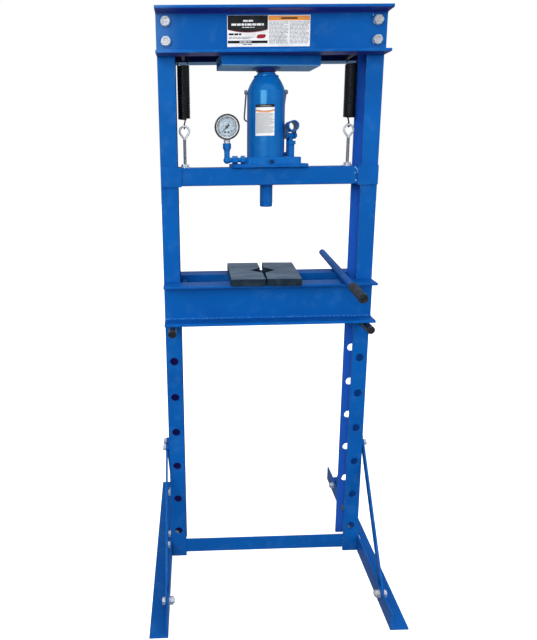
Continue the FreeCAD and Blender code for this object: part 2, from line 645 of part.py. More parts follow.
def make_pump_link():
    """Fulcrum link from the base ears up to the lever's rear pin."""
    low = Vec(PUMP_X - 6.5, LEVER_PIVOT_Y, LINK_PIN_Z)
    high = Vec(PUMP_X - 6.5, LEVER_PIVOT_Y, LEVER_PIN_Z)
    width = X_AXIS * 13.0
    ends = [rod(5.5, point, point + width) for point in (low, high)]
    bar = box(low.x, low.x + 13, LEVER_PIVOT_Y - 4.5, LEVER_PIVOT_Y + 4.5, low.z, high.z)
    holes = [rod(PUMP_PIN_R + RUN_GAP, high - X_AXIS, high + X_AXIS * 14),
             rod(PUMP_PIN_R, low - X_AXIS, low + X_AXIS * 14)]
    return fuse([bar] + ends).cut(Part.makeCompound(holes))


def make_link_pin():
    centre = Vec(PUMP_X, LEVER_PIVOT_Y, LINK_PIN_Z)
    return fuse([rod(PUMP_PIN_R, centre - X_AXIS * 12, centre + X_AXIS * 12),
                 rod(5.0, centre + X_AXIS * 11, centre + X_AXIS * 13.5)])


def make_handle_socket():
    """Pump lever: the socket for the jack handle, its two cheeks and their two cross pins."""
    back = SOCKET_FRONT + SOCKET_LENGTH
    start = Vec(PUMP_X, SOCKET_FRONT, SOCKET_Z)
    end = Vec(PUMP_X, back, SOCKET_Z)
    cheeks = []
    for side in (-1, 1):
        x = PUMP_X + side * 10
        plate = box(x - 2, x + 2, PLUNGER_Y - 9, LEVER_PIVOT_Y + 8, LEVER_PIN_Z - 8, SOCKET_Z - 6)
        low_corners = lambda e: e.Length < 4.1 and e.CenterOfMass.z < LEVER_PIN_Z
        cheeks.append(round_edges(plate, 7.0, low_corners))
    body = fuse([rod(SOCKET_OUT, start, end)] + cheeks)
    body = body.cut(rod(SOCKET_IN, start - Y_AXIS, end + Y_AXIS))
    pins = []
    for y in (PLUNGER_Y, LEVER_PIVOT_Y):
        centre = Vec(PUMP_X, y, LEVER_PIN_Z)
        pins.append(rod(PUMP_PIN_R, centre - X_AXIS * 13, centre + X_AXIS * 14))
        pins.append(rod(4.5, centre + X_AXIS * 12, centre + X_AXIS * 15))
    return fuse([body] + pins)


def make_release_valve():
    stem = rod(RELEASE_R, RELEASE - Y_AXIS, RELEASE + Y_AXIS * 22)
    head = chamfered_hex(9.4, 6.0, RELEASE - Y_AXIS * 0.5, -Y_AXIS)
    slot = box(RELEASE.x - 6, RELEASE.x + 6, RELEASE.y - 8, RELEASE.y - 4.5,
               RELEASE.z - 0.8, RELEASE.z + 0.8)
    return fuse([stem, head]).cut(slot)


# ---- gauge --------------------------------------------------------------------------------------
def make_gauge_case():
    front = GAUGE - Y_AXIS * (GAUGE_DEPTH / 2)
    back = GAUGE + Y_AXIS * (GAUGE_DEPTH / 2)
    shell = rod(GAUGE_R - 2.5, front, back)
    bezel = rod(GAUGE_R, front, front + Y_AXIS * 8)
    bezel = bezel.makeChamfer(1.5, [e for e in bezel.Edges if abs(e.CenterOfMass.y - front.y) < 0.1])
    case = fuse([shell, bezel])
    return case.cut(rod(GAUGE_R - 4.5, front - Y_AXIS, back - Y_AXIS * 4))


def make_gauge_dial():
    start = Vec(GAUGE.x, DIAL_Y, GAUGE.z)
    return tube(GAUGE_R - 4.55, 1.4, start, start + Y_AXIS * 1.5)


def make_gauge_lens():
    start = Vec(GAUGE.x, LENS_Y, GAUGE.z)
    return rod(GAUGE_R - 4.55, start, start + Y_AXIS * 2.0)


def make_gauge_needle():
    """Pointer at zero, down to the left, with a counterweight tail and its spindle."""
    front = DIAL_Y - 4.0
    blade = [Vec(0, 0, 20.0), Vec(1.5, 0, 0), Vec(2.2, 0, -8.0), Vec(-2.2, 0, -8.0), Vec(-1.5, 0, 0),
             Vec(0, 0, 20.0)]
    plate = Part.Face(Part.makePolygon(blade)).extrude(Y_AXIS * 0.8)
    plate.translate(Vec(GAUGE.x, front, GAUGE.z))
    plate.rotate(GAUGE, Y_AXIS, -135.0)
    hub = rod(3.0, Vec(GAUGE.x, front - 0.8, GAUGE.z), Vec(GAUGE.x, front + 1.6, GAUGE.z))
    spindle = rod(1.3, Vec(GAUGE.x, front, GAUGE.z), Vec(GAUGE.x, DIAL_Y + 5, GAUGE.z))
    return fuse([plate, hub, spindle])


def make_gauge_stem():
    """Square-necked brass stem under the case with its wrench hexagon."""
    top = Vec(GAUGE.x, GAUGE.y, GAUGE.z - GAUGE_R + 2.7)
    neck = rod(5.0, top - Z_AXIS * 8, top)
    nut_body = chamfered_hex(14.0, 9.0, top - Z_AXIS * 2, -Z_AXIS)
    return fuse([neck, nut_body]).cut(rod(GAUGE_R - 2.5, GAUGE - Y_AXIS * 30, GAUGE + Y_AXIS * 30))


def make_gauge_pipe():
    """Elbow fitting: a riser under the gauge and a level run into the jack base."""
    stem_low = Vec(GAUGE.x, GAUGE.y, GAUGE.z - GAUGE_R + 2.7 - 11)
    bend = Vec(GAUGE.x, GAUGE.y, PIPE_Z)
    riser = rod(PIPE_R + 1, bend, stem_low - Z_AXIS * 16)
    collar = chamfered_hex(18.0, 14.0, stem_low, -Z_AXIS)
    taper = Part.makeCone(8.6, PIPE_R + 1, 7.0, stem_low - Z_AXIS * 14, -Z_AXIS)
    corner = Part.makeSphere(9.2, bend)
    shoulder = Part.makeCone(9.2, PIPE_R, 9.0, bend + X_AXIS * 2, X_AXIS)
    run = rod(PIPE_R, bend, Vec(BASE_LEFT + 12, GAUGE.y, PIPE_Z))
    return fuse([riser, collar, taper, corner, shoulder, run])


def make_pipe_nuts():
    spots = [(-89.0, 14.0), (-67.5, 10.5)]
    return [hexagon(18.0, length, Vec(x, GAUGE.y, PIPE_Z), X_AXIS).cut(
        rod(PIPE_R, Vec(x - 1, GAUGE.y, PIPE_Z), Vec(x + length + 1, GAUGE.y, PIPE_Z)))
        for x, length in spots]


# ---- springs and their anchors ------------------------------------------------------------------
def make_eye_bolts():
    """Bent-wire eyes: a round top whose two sides run straight down to a point on the shank."""
    centre = Vec(SPRING_X, 0, EYE_Z)
    point = centre - Z_AXIS * EYE_DROP
    opening = degrees(acos(EYE_MEAN_R / EYE_DROP))
    wire = Part.Face(Part.Wire(Part.makeCircle(EYE_WIRE_R, centre - Z_AXIS * EYE_MEAN_R, X_AXIS)))
    wire.rotate(centre, Y_AXIS, -opening)
    arc = wire.revolve(centre, Y_AXIS, 2 * opening - 360)
    shapes = [arc]
    for side in (-1, 1):
        turn = FreeCAD.Rotation(Y_AXIS, side * opening)
        shapes.append(rod(EYE_WIRE_R, centre + turn.multVec(-Z_AXIS * EYE_MEAN_R), point))
    shapes.append(Part.makeSphere(EYE_SHANK_R, point))
    shapes.append(rod(EYE_SHANK_R, Vec(SPRING_X, 0, BEAM_TOP - 25), point))
    eye = shapes[0].fuse(shapes[1:])
    return [eye, mirror_x(eye)]


def make_eye_nuts():
    shapes = []
    for x in (-SPRING_X, SPRING_X):
        shapes.append(nut(2 * EYE_SHANK_R, Vec(x, 0, BEAM_TOP), Z_AXIS, EYE_NUT, 7.0, 14.0, 1.8))
        inside = Vec(x, 0, BEAM_TOP - BEAM_WALL)
        shapes.append(nut(2 * EYE_SHANK_R, inside, -Z_AXIS, EYE_NUT, 7.0, 12.5, 1.8))
    return shapes


def make_spring(x):
    """Close-wound spring as its envelope tube, with a full loop above and a small hook below."""
    wire = SPRING_WIRE / 2
    coil = tube(SPRING_R, SPRING_R - SPRING_WIRE, Vec(x, 0, SPRING_LOW), Vec(x, 0, SPRING_HIGH))
    caps = [rod(SPRING_R - 1, Vec(x, 0, z), Vec(x, 0, z + SPRING_WIRE))
            for z in (SPRING_LOW, SPRING_HIGH - SPRING_WIRE)]
    loop_r = SPRING_R - wire
    loop_z = HANGER_Z + HANGER_R + 0.2 + wire - loop_r
    top_ring = Part.makeTorus(loop_r, wire, Vec(x, 0, loop_z), Y_AXIS)
    top_stem = rod(wire, Vec(x, 0, SPRING_HIGH - 2), Vec(x, 0, loop_z - loop_r))
    low_bar = EYE_Z + EYE_MEAN_R
    low_ring = Part.makeTorus(EYE_WIRE_R + wire + 0.9, wire, Vec(x, 0, low_bar), X_AXIS)
    low_stem = rod(wire, Vec(x, 0, low_bar + EYE_WIRE_R + wire + 0.9), Vec(x, 0, SPRING_LOW + 2))
    return fuse([coil] + caps + [top_ring, top_stem, low_ring, low_stem])


# ---- bed ----------------------------------------------------------------------------------------
def make_bed_channel():
    return channel_section(BED_HALF, BED_WEB_Y, HEAD_FLANGE, BED_BOTTOM, BED_H, CHANNEL_WEB, CHANNEL_FLANGE)


def make_bed_spacers():
    right = box(BED_SPACER_IN, BED_SPACER_OUT, -BED_WEB_Y, BED_WEB_Y, BED_BOTTOM + 12, BED_TOP - 12)
    return [right, mirror_x(right)]


def make_bed_pin(side):
    pin = rod(PIN_R, Vec(side * HOLE_X, PIN_FRONT, PIN_Z), Vec(side * HOLE_X, PIN_BACK, PIN_Z))
    return pin.makeChamfer(1.5, [e for e in pin.Edges if e.Closed])


def make_bolster(sign, place):
    """Arbor plate with a V notch in the edge that faces the other plate. place is X, Y and turn."""
    centre_x, centre_y, turn = place
    width, depth, thick = BOLSTER
    plate = box(-width / 2, width / 2, -depth / 2, depth / 2, 0, thick)
    plate = round_edges(plate, 2.0, lambda e: True)
    edge = -sign * width / 2
    mouth = NOTCH_MOUTH / 2
    outline = [Vec(edge, -mouth, -1), Vec(edge + sign * NOTCH_DEPTH, 0, -1), Vec(edge, mouth, -1),
               Vec(edge - sign * 5, mouth, -1), Vec(edge - sign * 5, -mouth, -1), Vec(edge, -mouth, -1)]
    plate = plate.cut(Part.Face(Part.makePolygon(outline)).extrude(Vec(0, 0, thick + 2)))
    plate.rotate(Vec(0, 0, 0), Z_AXIS, turn)
    plate.translate(Vec(centre_x, centre_y, BED_TOP))
    return plate


# ---- jack handle lying on the bed ---------------------------------------------------------------
def handle_point(base, forward=0.0):
    return base + Z_AXIS * HANDLE_Z + HANDLE_AIM * forward


def make_handle_tube():
    return tube(HANDLE_R, HANDLE_BORE, handle_point(HANDLE_BACK), handle_point(HANDLE_FRONT, -5.0))


def make_handle_grip():
    end = handle_point(HANDLE_FRONT)
    start = handle_point(HANDLE_FRONT, -GRIP_LENGTH)
    sleeve = rod(GRIP_R, start, end)
    sleeve = sleeve.makeChamfer(2.0, [e for e in sleeve.Edges if e.Closed])
    return sleeve.cut(rod(HANDLE_R, start + HANDLE_AIM * -1, handle_point(HANDLE_FRONT, -5.0)))


# ---- write the pieces ---------------------------------------------------------------------------
def write(name, shape, shift=0.0):
    solid = Part.makeCompound(shape) if isinstance(shape, list) else shape
    solid.translate(X_AXIS * shift)
    solids = solid.Solids
    for part in solids:
        if not part.isValid() or part.Volume <= 0:
            raise ValueError(name + " has a bad solid")
    kept = solids[0] if len(solids) == 1 else Part.makeCompound(solids)
    kept.exportStep(os.path.join("parts", name + ".step"))
    total = sum(part.Volume for part in solids)
    print("%-22s %2d solid(s) %9.1f cm3" % (name, len(solids), total / 1000))


def main():
    os.makedirs("parts", exist_ok=True)
    right_post = make_post()
    write("right_post", right_post)
    write("left_post", mirror_x(right_post))
    head_front = make_head_channel()
    write("head_front_channel", head_front)
    write("head_rear_channel", mirror_y(head_front))
    write("thrust_box", make_thrust_box(), BOX_SHIFT)
    write("jack_seat_ring", make_seat_ring(), JACK_SHIFT)
    write("spring_hanger_pins", make_hanger_pins(), BEAM_SHIFT)
    write("head_bolts", make_head_bolts())
    write("head_nuts", make_head_nuts())
    write("lower_cross_brace", make_cross_brace())
    right_foot = make_foot()
    write("right_foot", right_foot)
    write("left_foot", mirror_x(right_foot))
    rear_brace = make_brace()
    write("rear_braces", [rear_brace, mirror_x(rear_brace)])
    front_brace = mirror_y(rear_brace)
    write("front_braces", [front_brace, mirror_x(front_brace)])
    write("brace_spacers", make_brace_spacers())
    write("foot_bolts", make_foot_bolts())
    write("foot_nuts", make_foot_nuts())
    write("brace_bolts", make_brace_bolts())
    write("brace_nuts", make_brace_nuts())
    write("head_label", make_head_label())
    write("piston_rod", make_piston_rod(), JACK_SHIFT)
    write("piston_seal", make_piston_seal(), JACK_SHIFT)
    write("extension_screw", make_extension_screw(), JACK_SHIFT)

    write("crossbeam", make_crossbeam())
    write("guide_plates", make_guide_plates())
    write("ram", make_ram(), BEAM_SHIFT)
    write("jack_seat_plate", make_seat_plate())
    write("jack_base", make_jack_base(), JACK_SHIFT)
    write("jack_cylinder", make_jack_cylinder(), JACK_SHIFT)
    write("jack_tank", make_jack_tank(), JACK_SHIFT)
    write("jack_gland_nut", make_gland_nut(), JACK_SHIFT)
    write("oil_plug", make_oil_plug(), JACK_SHIFT)
    write("bail_lugs", make_bail_lugs(), JACK_SHIFT)
    write("jack_label", make_jack_label(), JACK_SHIFT)
    write("carry_bail", make_carry_bail(), JACK_SHIFT)
    write("pump_cylinder", make_pump_cylinder(), JACK_SHIFT)
    write("pump_plunger", make_pump_plunger(), JACK_SHIFT)
    write("pump_link", [make_pump_link(), make_link_pin()], JACK_SHIFT)
    write("handle_socket", make_handle_socket(), JACK_SHIFT)
    write("release_valve", make_release_valve(), JACK_SHIFT)
    write("gauge_case", make_gauge_case(), JACK_SHIFT)
    write("gauge_dial", make_gauge_dial(), JACK_SHIFT)
    write("gauge_lens", make_gauge_lens(), JACK_SHIFT)
    write("gauge_needle", make_gauge_needle(), JACK_SHIFT)
    write("gauge_stem", make_gauge_stem(), JACK_SHIFT)
    write("gauge_pipe", make_gauge_pipe(), JACK_SHIFT)
    write("pipe_nuts", make_pipe_nuts(), JACK_SHIFT)
    write("eye_bolts", make_eye_bolts(), BEAM_SHIFT)
    write("eye_bolt_nuts", make_eye_nuts(), BEAM_SHIFT)
    write("left_spring", make_spring(-SPRING_X), BEAM_SHIFT)
    write("right_spring", make_spring(SPRING_X), BEAM_SHIFT)

    bed_front = make_bed_channel()
    write("bed_front_channel", bed_front)
    write("bed_rear_channel", mirror_y(bed_front))
    write("bed_spacers", make_bed_spacers())
    write("left_bed_pin", make_bed_pin(-1))
    write("right_bed_pin", make_bed_pin(1))
    write("left_bolster", make_bolster(-1, LEFT_BOLSTER))
    write("right_bolster", make_bolster(1, RIGHT_BOLSTER))
    write("handle_tube", make_handle_tube())
    write("handle_grip", make_handle_grip())


main()
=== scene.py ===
"""Looks of an H-frame hydraulic shop press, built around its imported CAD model.

Metres. X runs along the beams, -Y is the operator's side and +Z is up.
"""
import math
import random

import bpy
from mathutils import Matrix, Vector


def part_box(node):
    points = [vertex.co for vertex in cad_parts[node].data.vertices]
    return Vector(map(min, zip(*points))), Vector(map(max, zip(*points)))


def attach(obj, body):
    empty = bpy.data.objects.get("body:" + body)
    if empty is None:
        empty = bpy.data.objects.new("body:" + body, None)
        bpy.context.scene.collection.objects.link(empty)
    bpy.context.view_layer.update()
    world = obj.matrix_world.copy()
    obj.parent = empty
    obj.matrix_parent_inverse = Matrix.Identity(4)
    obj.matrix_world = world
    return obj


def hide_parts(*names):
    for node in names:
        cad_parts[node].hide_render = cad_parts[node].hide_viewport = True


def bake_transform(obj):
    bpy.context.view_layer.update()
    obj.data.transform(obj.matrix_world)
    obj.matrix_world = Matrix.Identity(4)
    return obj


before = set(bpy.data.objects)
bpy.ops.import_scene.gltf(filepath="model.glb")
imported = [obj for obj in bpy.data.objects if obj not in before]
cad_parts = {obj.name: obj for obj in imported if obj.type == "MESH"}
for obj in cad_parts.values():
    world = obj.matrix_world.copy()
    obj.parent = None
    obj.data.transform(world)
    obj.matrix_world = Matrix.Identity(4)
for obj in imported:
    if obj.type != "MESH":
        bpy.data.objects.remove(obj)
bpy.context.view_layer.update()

X_AXIS = Vector((1, 0, 0))
Y_AXIS = Vector((0, 1, 0))
Z_AXIS = Vector((0, 0, 1))
MM = 0.001

# ---- driving values -----------------------------------------------------------------------------
PAINT_BLUE = (0.0030, 0.096, 0.392)
PAINT_DEEP = (0.0028, 0.082, 0.345)
PAINT_WORN = (0.100, 0.290, 0.620)
JACK_BLUE = (0.0030, 0.125, 0.440)
JACK_DEEP = (0.0025, 0.100, 0.385)
JACK_WORN = (0.120, 0.340, 0.680)
UNDER_PAINTED_SHADE = (0.026, 0.042, 0.300)     # painted shade on faces turned to the floor
INSIDE_PAINTED_SHADE = (0.0015, 0.005, 0.050)   # painted shade on the front of the rear head channel, inside the head
WITHIN_PAINTED_LIGHT = (0.020, 0.137, 0.667)    # painted light on the inside of the right post's rear flange
WITHIN_PAINTED_SHADE = (0.016, 0.012, 0.120)     # painted shade on the inside of the left post's rear flange
FLANK_PAINTED_SHADE = (0.034, 0.046, 0.360)     # painted shade down the right side of the jack
UNDER_PAINTED_LIGHT = (0.170, 0.460, 0.800)      # painted light from the floor on the undersides of the thrust box and the rear channel
PAINTED_HIGHLIGHT_ENAMEL = (0.34, 0.60, 0.86)        # colour of the painted sheen and painted glints over the enamel
STEEL = (0.50, 0.52, 0.54)
BLACK = (0.014, 0.015, 0.018)
WHITE_PRINT = (0.80, 0.81, 0.82)
ORANGE_PRINT = (0.86, 0.33, 0.07)
RED_PRINT = (0.33, 0.012, 0.02)
GREY_PRINT = (0.27, 0.29, 0.32)

CAMERA_AT = Vector((-195.3, -1323.1, 1166.0)) * MM
CAMERA_YAW = math.radians(1.341)
CAMERA_PITCH = math.radians(11.844)
CAMERA_ROLL = math.radians(-0.770)
LENS = 28.247
SHIFT = (0.0982, -0.0939)

SPRING_WIRE_R = 1.95 * MM
SPRING_STEM = 12.4 * MM     # from the low hook up to the first coil
SPRING_TURNS = 33.5
HOOK_SIDES = 10
EYE_WIRE_R = 2.8 * MM
EYE_REACH = 14.8 * MM       # from the eye's centre to the outside of its wire
SHANK_R = 3.6 * MM
THREAD_DROP = 35 * MM       # from the top of an eye bolt to the end of its thread
BOX_TURN = math.radians(5.0)    # the thrust box sits askew
BOX_HALF_X = 122.0 * MM
BOX_HALF_Y = 46.0 * MM
GUIDE_WIDTH = 52 * MM       # of a guide plate, from its outer edge to the weld
WELD_R = 2.0 * MM
HEAVY_WELD_R = 2.6 * MM
WELD_STITCH = 26 * MM
TUBE_R = 10.0 * MM
GRIP_R = 11.6 * MM
GRIP_LENGTH = 104 * MM
SLANT_COSINE = 0.9965       # of the angle between the handle and the Y axis
GRIP_FLUTES = 26
DIAL_SWEEP = 135            # degrees from the top of the dial to either end of its scale
PRINT_LAYER = 0.06 * MM

# Places of painted sheen and painted glints: an axis (0, 1 or 2), and where it starts and ends
# along it.
HEAD_PAINTED_SHEEN = (-0.212, -0.266)        # along X only, from clear paint to the painted sheen on the head's left end
BED_ROOT_PAINTED_GLINTS = (2, 0.7378, 0.7398)      # painted glints along the root of the bed's lower front flange
WELD_PAINTED_GLINTS = (0, 0.150, 0.330)    # painted glints on the weld beads at the right

# Drops of spatter in millimetres. Beam: x from the weld, share of the beam's height, radius.
# Head: x, z from the top, radius.
BEAM_SPATTER = [(-6, 0.92, 2.6), (3, 0.96, 2.4), (-1, 0.84, 2.8),
                (-6, 0.62, 2.2), (-3, 0.20, 3.2), (2, 0.13, 1.8)]
HEAD_SPATTER = [(241.0, -14.0, 2.2), (248.0, -14.5, 1.8), (242.5, -30.0, 1.5)]

FLOOR_GLOW = 0.80
# Name, place, aim, size, power and whether shiny parts mirror it.
LIGHTS = [
    ("key", (-1.6, -3.4, 2.4), (0, 0, 0.9), (2.4, 2.4), 74, False),
    ("fill", (2.2, -3.0, 1.5), (0, 0, 0.8), (2.4, 2.4), 50, False),
    ("top", (0.2, -0.6, 4.2), (0, 0, 0.6), (2.5, 2.5), 40, False),
    ("window", (-1.02, -2.5, 1.66), (0, 0, 1.3), (1.8, 0.44), 13, True),
    ("back_strip", (2.6, 1.6, 2.0), (0, 0, 1.0), (0.5, 2.0), 20, False),
]


# ---- finishes -----------------------------------------------------------------------------------
class Finish:
    """A Principled material, with short calls for the nodes that feed it."""

    def __init__(self, name, color, roughness, metallic=0.0):
        self.material = bpy.data.materials.new(name)
        self.material.use_nodes = True
        self.tree = self.material.node_tree
        self.shader = self.tree.nodes["Principled BSDF"]
        self.place = self.node("ShaderNodeTexCoord").outputs["Object"]
        self.normal = None
        self.set("Base Color", (*color, 1.0))
        self.set("Roughness", roughness)
        self.set("Metallic", metallic)

    def node(self, kind, **settings):
        made = self.tree.nodes.new(kind)
        for key, value in settings.items():
            setattr(made, key, value)
        return made

    def feed(self, socket, value):
        if isinstance(value, bpy.types.NodeSocket):
            self.tree.links.new(value, socket)
        else:
            socket.default_value = value

    def set(self, name, value):
        self.feed(self.shader.inputs[name], value)

    def noise(self, scale, detail, stretch=(1, 1, 1), warp=0.0):
        """Noise from 0 to 1. scale is in features per metre."""
        mapping = self.node("ShaderNodeMapping")
        mapping.inputs["Scale"].default_value = stretch
        self.feed(mapping.inputs["Vector"], self.place)
        grain = self.node("ShaderNodeTexNoise")
        self.feed(grain.inputs["Vector"], mapping.outputs[0])
        grain.inputs["Scale"].default_value = scale
        grain.inputs["Detail"].default_value = detail
        grain.inputs["Distortion"].default_value = warp
        return grain.outputs[0]

    def cells(self, scale):
        """Distance from scattered points, 0 at each point. scale is in points per metre."""
        dots = self.node("ShaderNodeTexVoronoi")
        self.feed(dots.inputs["Vector"], self.place)
        dots.inputs["Scale"].default_value = scale
        return dots.outputs["Distance"]

    def fit(self, value, low, high, to_low=0.0, to_high=1.0):
        """value's range low..high taken to to_low..to_high, and held there outside it."""
        change = self.node("ShaderNodeMapRange", interpolation_type="SMOOTHSTEP")
        for socket, given in zip(change.inputs, (value, low, high, to_low, to_high)):
            self.feed(socket, given)
        return change.outputs[0]

    def times(self, a, b):
        product = self.node("ShaderNodeMath", operation="MULTIPLY")
        self.feed(product.inputs[0], a)
        self.feed(product.inputs[1], b)
        return product.outputs[0]

    def blend(self, share, a, b):
        """Colour a where share is 0 and b where it is 1."""
        mixer = self.node("ShaderNodeMix", data_type="RGBA")
        self.feed(mixer.inputs[0], share)
        for socket, color in ((mixer.inputs[6], a), (mixer.inputs[7], b)):
            self.feed(socket, color if isinstance(color, bpy.types.NodeSocket) else (*color, 1.0))
        return mixer.outputs[2]

    def soften(self, radius):
        """Edges catch the light as if rounded to this radius."""
        bevel = self.node("ShaderNodeBevel", samples=4)
        bevel.inputs["Radius"].default_value = radius
        self.normal = bevel.outputs[0]
        self.set("Normal", self.normal)

    def edge(self, radius):
        """1 on sharp edges, 0 a radius away from them."""
        bevel = self.node("ShaderNodeBevel", samples=6)
        bevel.inputs["Radius"].default_value = radius
        facing = self.node("ShaderNodeNewGeometry").outputs["Normal"]
        dot = self.node("ShaderNodeVectorMath", operation="DOT_PRODUCT")
        self.feed(dot.inputs[0], bevel.outputs[0])
        self.feed(dot.inputs[1], facing)
        return self.fit(dot.outputs["Value"], 0.97, 0.65)

    def facing(self, axis):
        """How far the surface faces along an axis, from -1 to 1."""
        parts = self.node("ShaderNodeSeparateXYZ")
        self.feed(parts.inputs[0], self.node("ShaderNodeNewGeometry").outputs["Normal"])
        return parts.outputs[axis]

    def along(self, axis):
        """Place along an axis, in metres."""
        parts = self.node("ShaderNodeSeparateXYZ")
        self.feed(parts.inputs[0], self.place)
        return parts.outputs[axis]

    def strip(self, axis, low, high):
        """1 inside a band of places along an axis, fading out over a millimetre."""
        where = self.along(axis)
        return self.times(self.fit(where, low - MM, low), self.fit(where, high + MM, high))

    def bump(self, height, strength, depth):
        relief = self.node("ShaderNodeBump")
        relief.inputs["Strength"].default_value = strength
        relief.inputs["Distance"].default_value = depth
        self.feed(relief.inputs["Height"], height)
        if self.normal:
            self.feed(relief.inputs["Normal"], self.normal)
        self.normal = relief.outputs[0]
        self.set("Normal", self.normal)


def scaled(color, factor):
    return tuple(c * factor for c in color)


def paint(name, color, deep, worn, gloss, shine=0.15, chips=1.0, cast=0.0,
          under=None, inside=None, flank=None, within=None, haze=None, band=None):
    """Sprayed enamel: cloudy film, orange peel, rubbed edges and small chips.

    The edges are lighter partly as rubbed paint and partly as a painted highlight. under, inside
    and flank are colours of painted shade for faces that look down, to the front and to the right;
    a pale under is painted light from the floor. within is painted light or painted shade, as its
    colour says, for faces that look to the front from behind the middle. The last two arguments are
    the places of a painted sheen and of painted glints.
    """
    f = Finish(name, color, gloss)
    tone = f.blend(f.fit(f.noise(4.5, 4.0, warp=0.6), 0.38, 0.66), deep, color)
    tone = f.blend(f.times(f.fit(f.noise(34.0, 5.0), 0.50, 0.72), 0.08), tone, worn)
    # Painted shade on faces that look down; a pale colour here is painted light from the floor.
    if under:
        tone = f.blend(f.fit(f.facing(2), -0.4, -0.8), tone, under)
    # Painted shade on faces that look to the front.
    if inside:
        tone = f.blend(f.fit(f.facing(1), -0.4, -0.8), tone, inside)
    # Painted shade on faces that look to the right.
    if flank:
        shade, start, full = flank
        tone = f.blend(f.times(f.fit(f.facing(0), start, full), 0.8), tone, shade)
    # Painted light or painted shade, as the colour given says, on front-facing faces behind the
    # middle.
    if within:
        behind = f.times(f.fit(f.facing(1), -0.85, -0.98), f.fit(f.along(1), 0.0, 0.005))
        tone = f.blend(behind, tone, within)
    # Painted sheen over a span along X.
    if haze:
        tone = f.blend(f.times(f.fit(f.along(0), *haze), 0.10), tone, PAINTED_HIGHLIGHT_ENAMEL)
    # Painted glints: pale specks on front faces within a band.
    if band:
        painted_glints = f.times(f.fit(f.noise(260.0, 2.0, (1.0, 0.4, 0.4)), 0.52, 0.62), f.strip(*band))
        painted_glints = f.times(painted_glints, f.fit(f.facing(1), -0.5, -0.9))
        tone = f.blend(f.times(painted_glints, 0.75), tone, PAINTED_HIGHLIGHT_ENAMEL)
    # Lighter edges: partly rubbed paint, partly a painted highlight.
    rubbed = f.times(f.edge(0.0018), f.fit(f.noise(90.0, 4.0), 0.42, 0.62))
    tone = f.blend(f.times(rubbed, 0.55 * chips), tone, worn)
    flecks = f.times(f.fit(f.cells(55.0), 0.10, 0.04), f.fit(f.noise(9.0, 2.0), 0.56, 0.68))
    tone = f.blend(f.times(flecks, 0.5 * chips), tone, worn)
    f.set("Base Color", tone)
    f.set("Roughness", f.fit(f.noise(16.0, 4.0), 0.3, 0.7, gloss - 0.06, gloss + 0.12))
    f.soften(0.0012)
    f.bump(f.noise(620.0, 2.0), 0.10, 0.0004)
    f.bump(f.noise(26.0, 2.0), 0.08, 0.0020)
    if cast:
        f.bump(f.noise(260.0, 5.0), cast, 0.0010)
    f.set("Specular IOR Level", shine)
    f.set("Specular Tint", (0.25, 0.80, 1.0, 1.0))
    return f.material


def enamel(name, **shades):
    """The frame's own blue, with shades for some of its faces."""
    return paint(name, PAINT_BLUE, PAINT_DEEP, PAINT_WORN, 0.34, **shades)


def plated(name, color, low, high, metallic):
    """Zinc plate: crystalline patches, a faint yellow and blue tint, rubbed corners."""
    f = Finish(name, color, low, metallic)
    tone = f.blend(f.fit(f.cells(420.0), 0.2, 0.9), color, scaled(color, 0.62))
    yellow = f.times(f.fit(f.noise(60.0, 3.0), 0.5, 0.7), 0.3)
    tone = f.blend(yellow, tone, (0.74, 0.66, 0.46))
    blue = f.times(f.fit(f.noise(45.0, 3.0, warp=1.0), 0.5, 0.7), 0.3)
    tone = f.blend(blue, tone, (0.50, 0.58, 0.74))
    tone = f.blend(f.edge(0.0010), tone, (0.88, 0.90, 0.92))
    f.set("Base Color", tone)
    f.set("Roughness", f.fit(f.noise(130.0, 4.0), 0.3, 0.7, low, high))
    f.soften(0.0007)
    f.bump(f.noise(800.0, 3.0), 0.12, 0.0003)
    return f.material


def turned(name, color, low, high, axis):
    """Ground or turned steel with fine tool marks around its axis."""
    f = Finish(name, color, low, 1.0)
    stretch = tuple(1.0 if k == axis else 0.02 for k in range(3))
    marks = f.noise(2400.0, 2.0, stretch)
    f.set("Base Color", f.blend(f.fit(f.noise(30.0, 4.0), 0.4, 0.7), color, scaled(color, 0.7)))
    f.set("Roughness", f.fit(marks, 0.3, 0.7, low, high))
    f.soften(0.0006)
    f.bump(marks, 0.10, 0.0002)
    return f.material


def blacked(name, color, rubbed, gloss, grain=300.0, wear=1.0, shine=0.35):
    """Black oxide or enamel over steel, greyer where hands and parts have rubbed it."""
    f = Finish(name, color, gloss)
    tone = f.blend(f.fit(f.noise(11.0, 5.0, warp=1.2), 0.45, 0.75), color, scaled(color, 1.9))
    tone = f.blend(f.times(f.edge(0.0014), 0.8 * wear), tone, rubbed)
    scratch = f.fit(f.noise(75.0, 6.0, (1.0, 0.05, 1.0), 0.4), 0.62, 0.72)
    tone = f.blend(f.times(scratch, 0.35 * wear), tone, rubbed)
    f.set("Base Color", tone)
    f.set("Roughness", f.fit(f.noise(22.0, 5.0), 0.3, 0.7, gloss - 0.08, gloss + 0.14))
    f.soften(0.0010)
    f.bump(f.noise(grain, 4.0), 0.10, 0.0005)
    f.set("Specular IOR Level", shine)
    return f.material


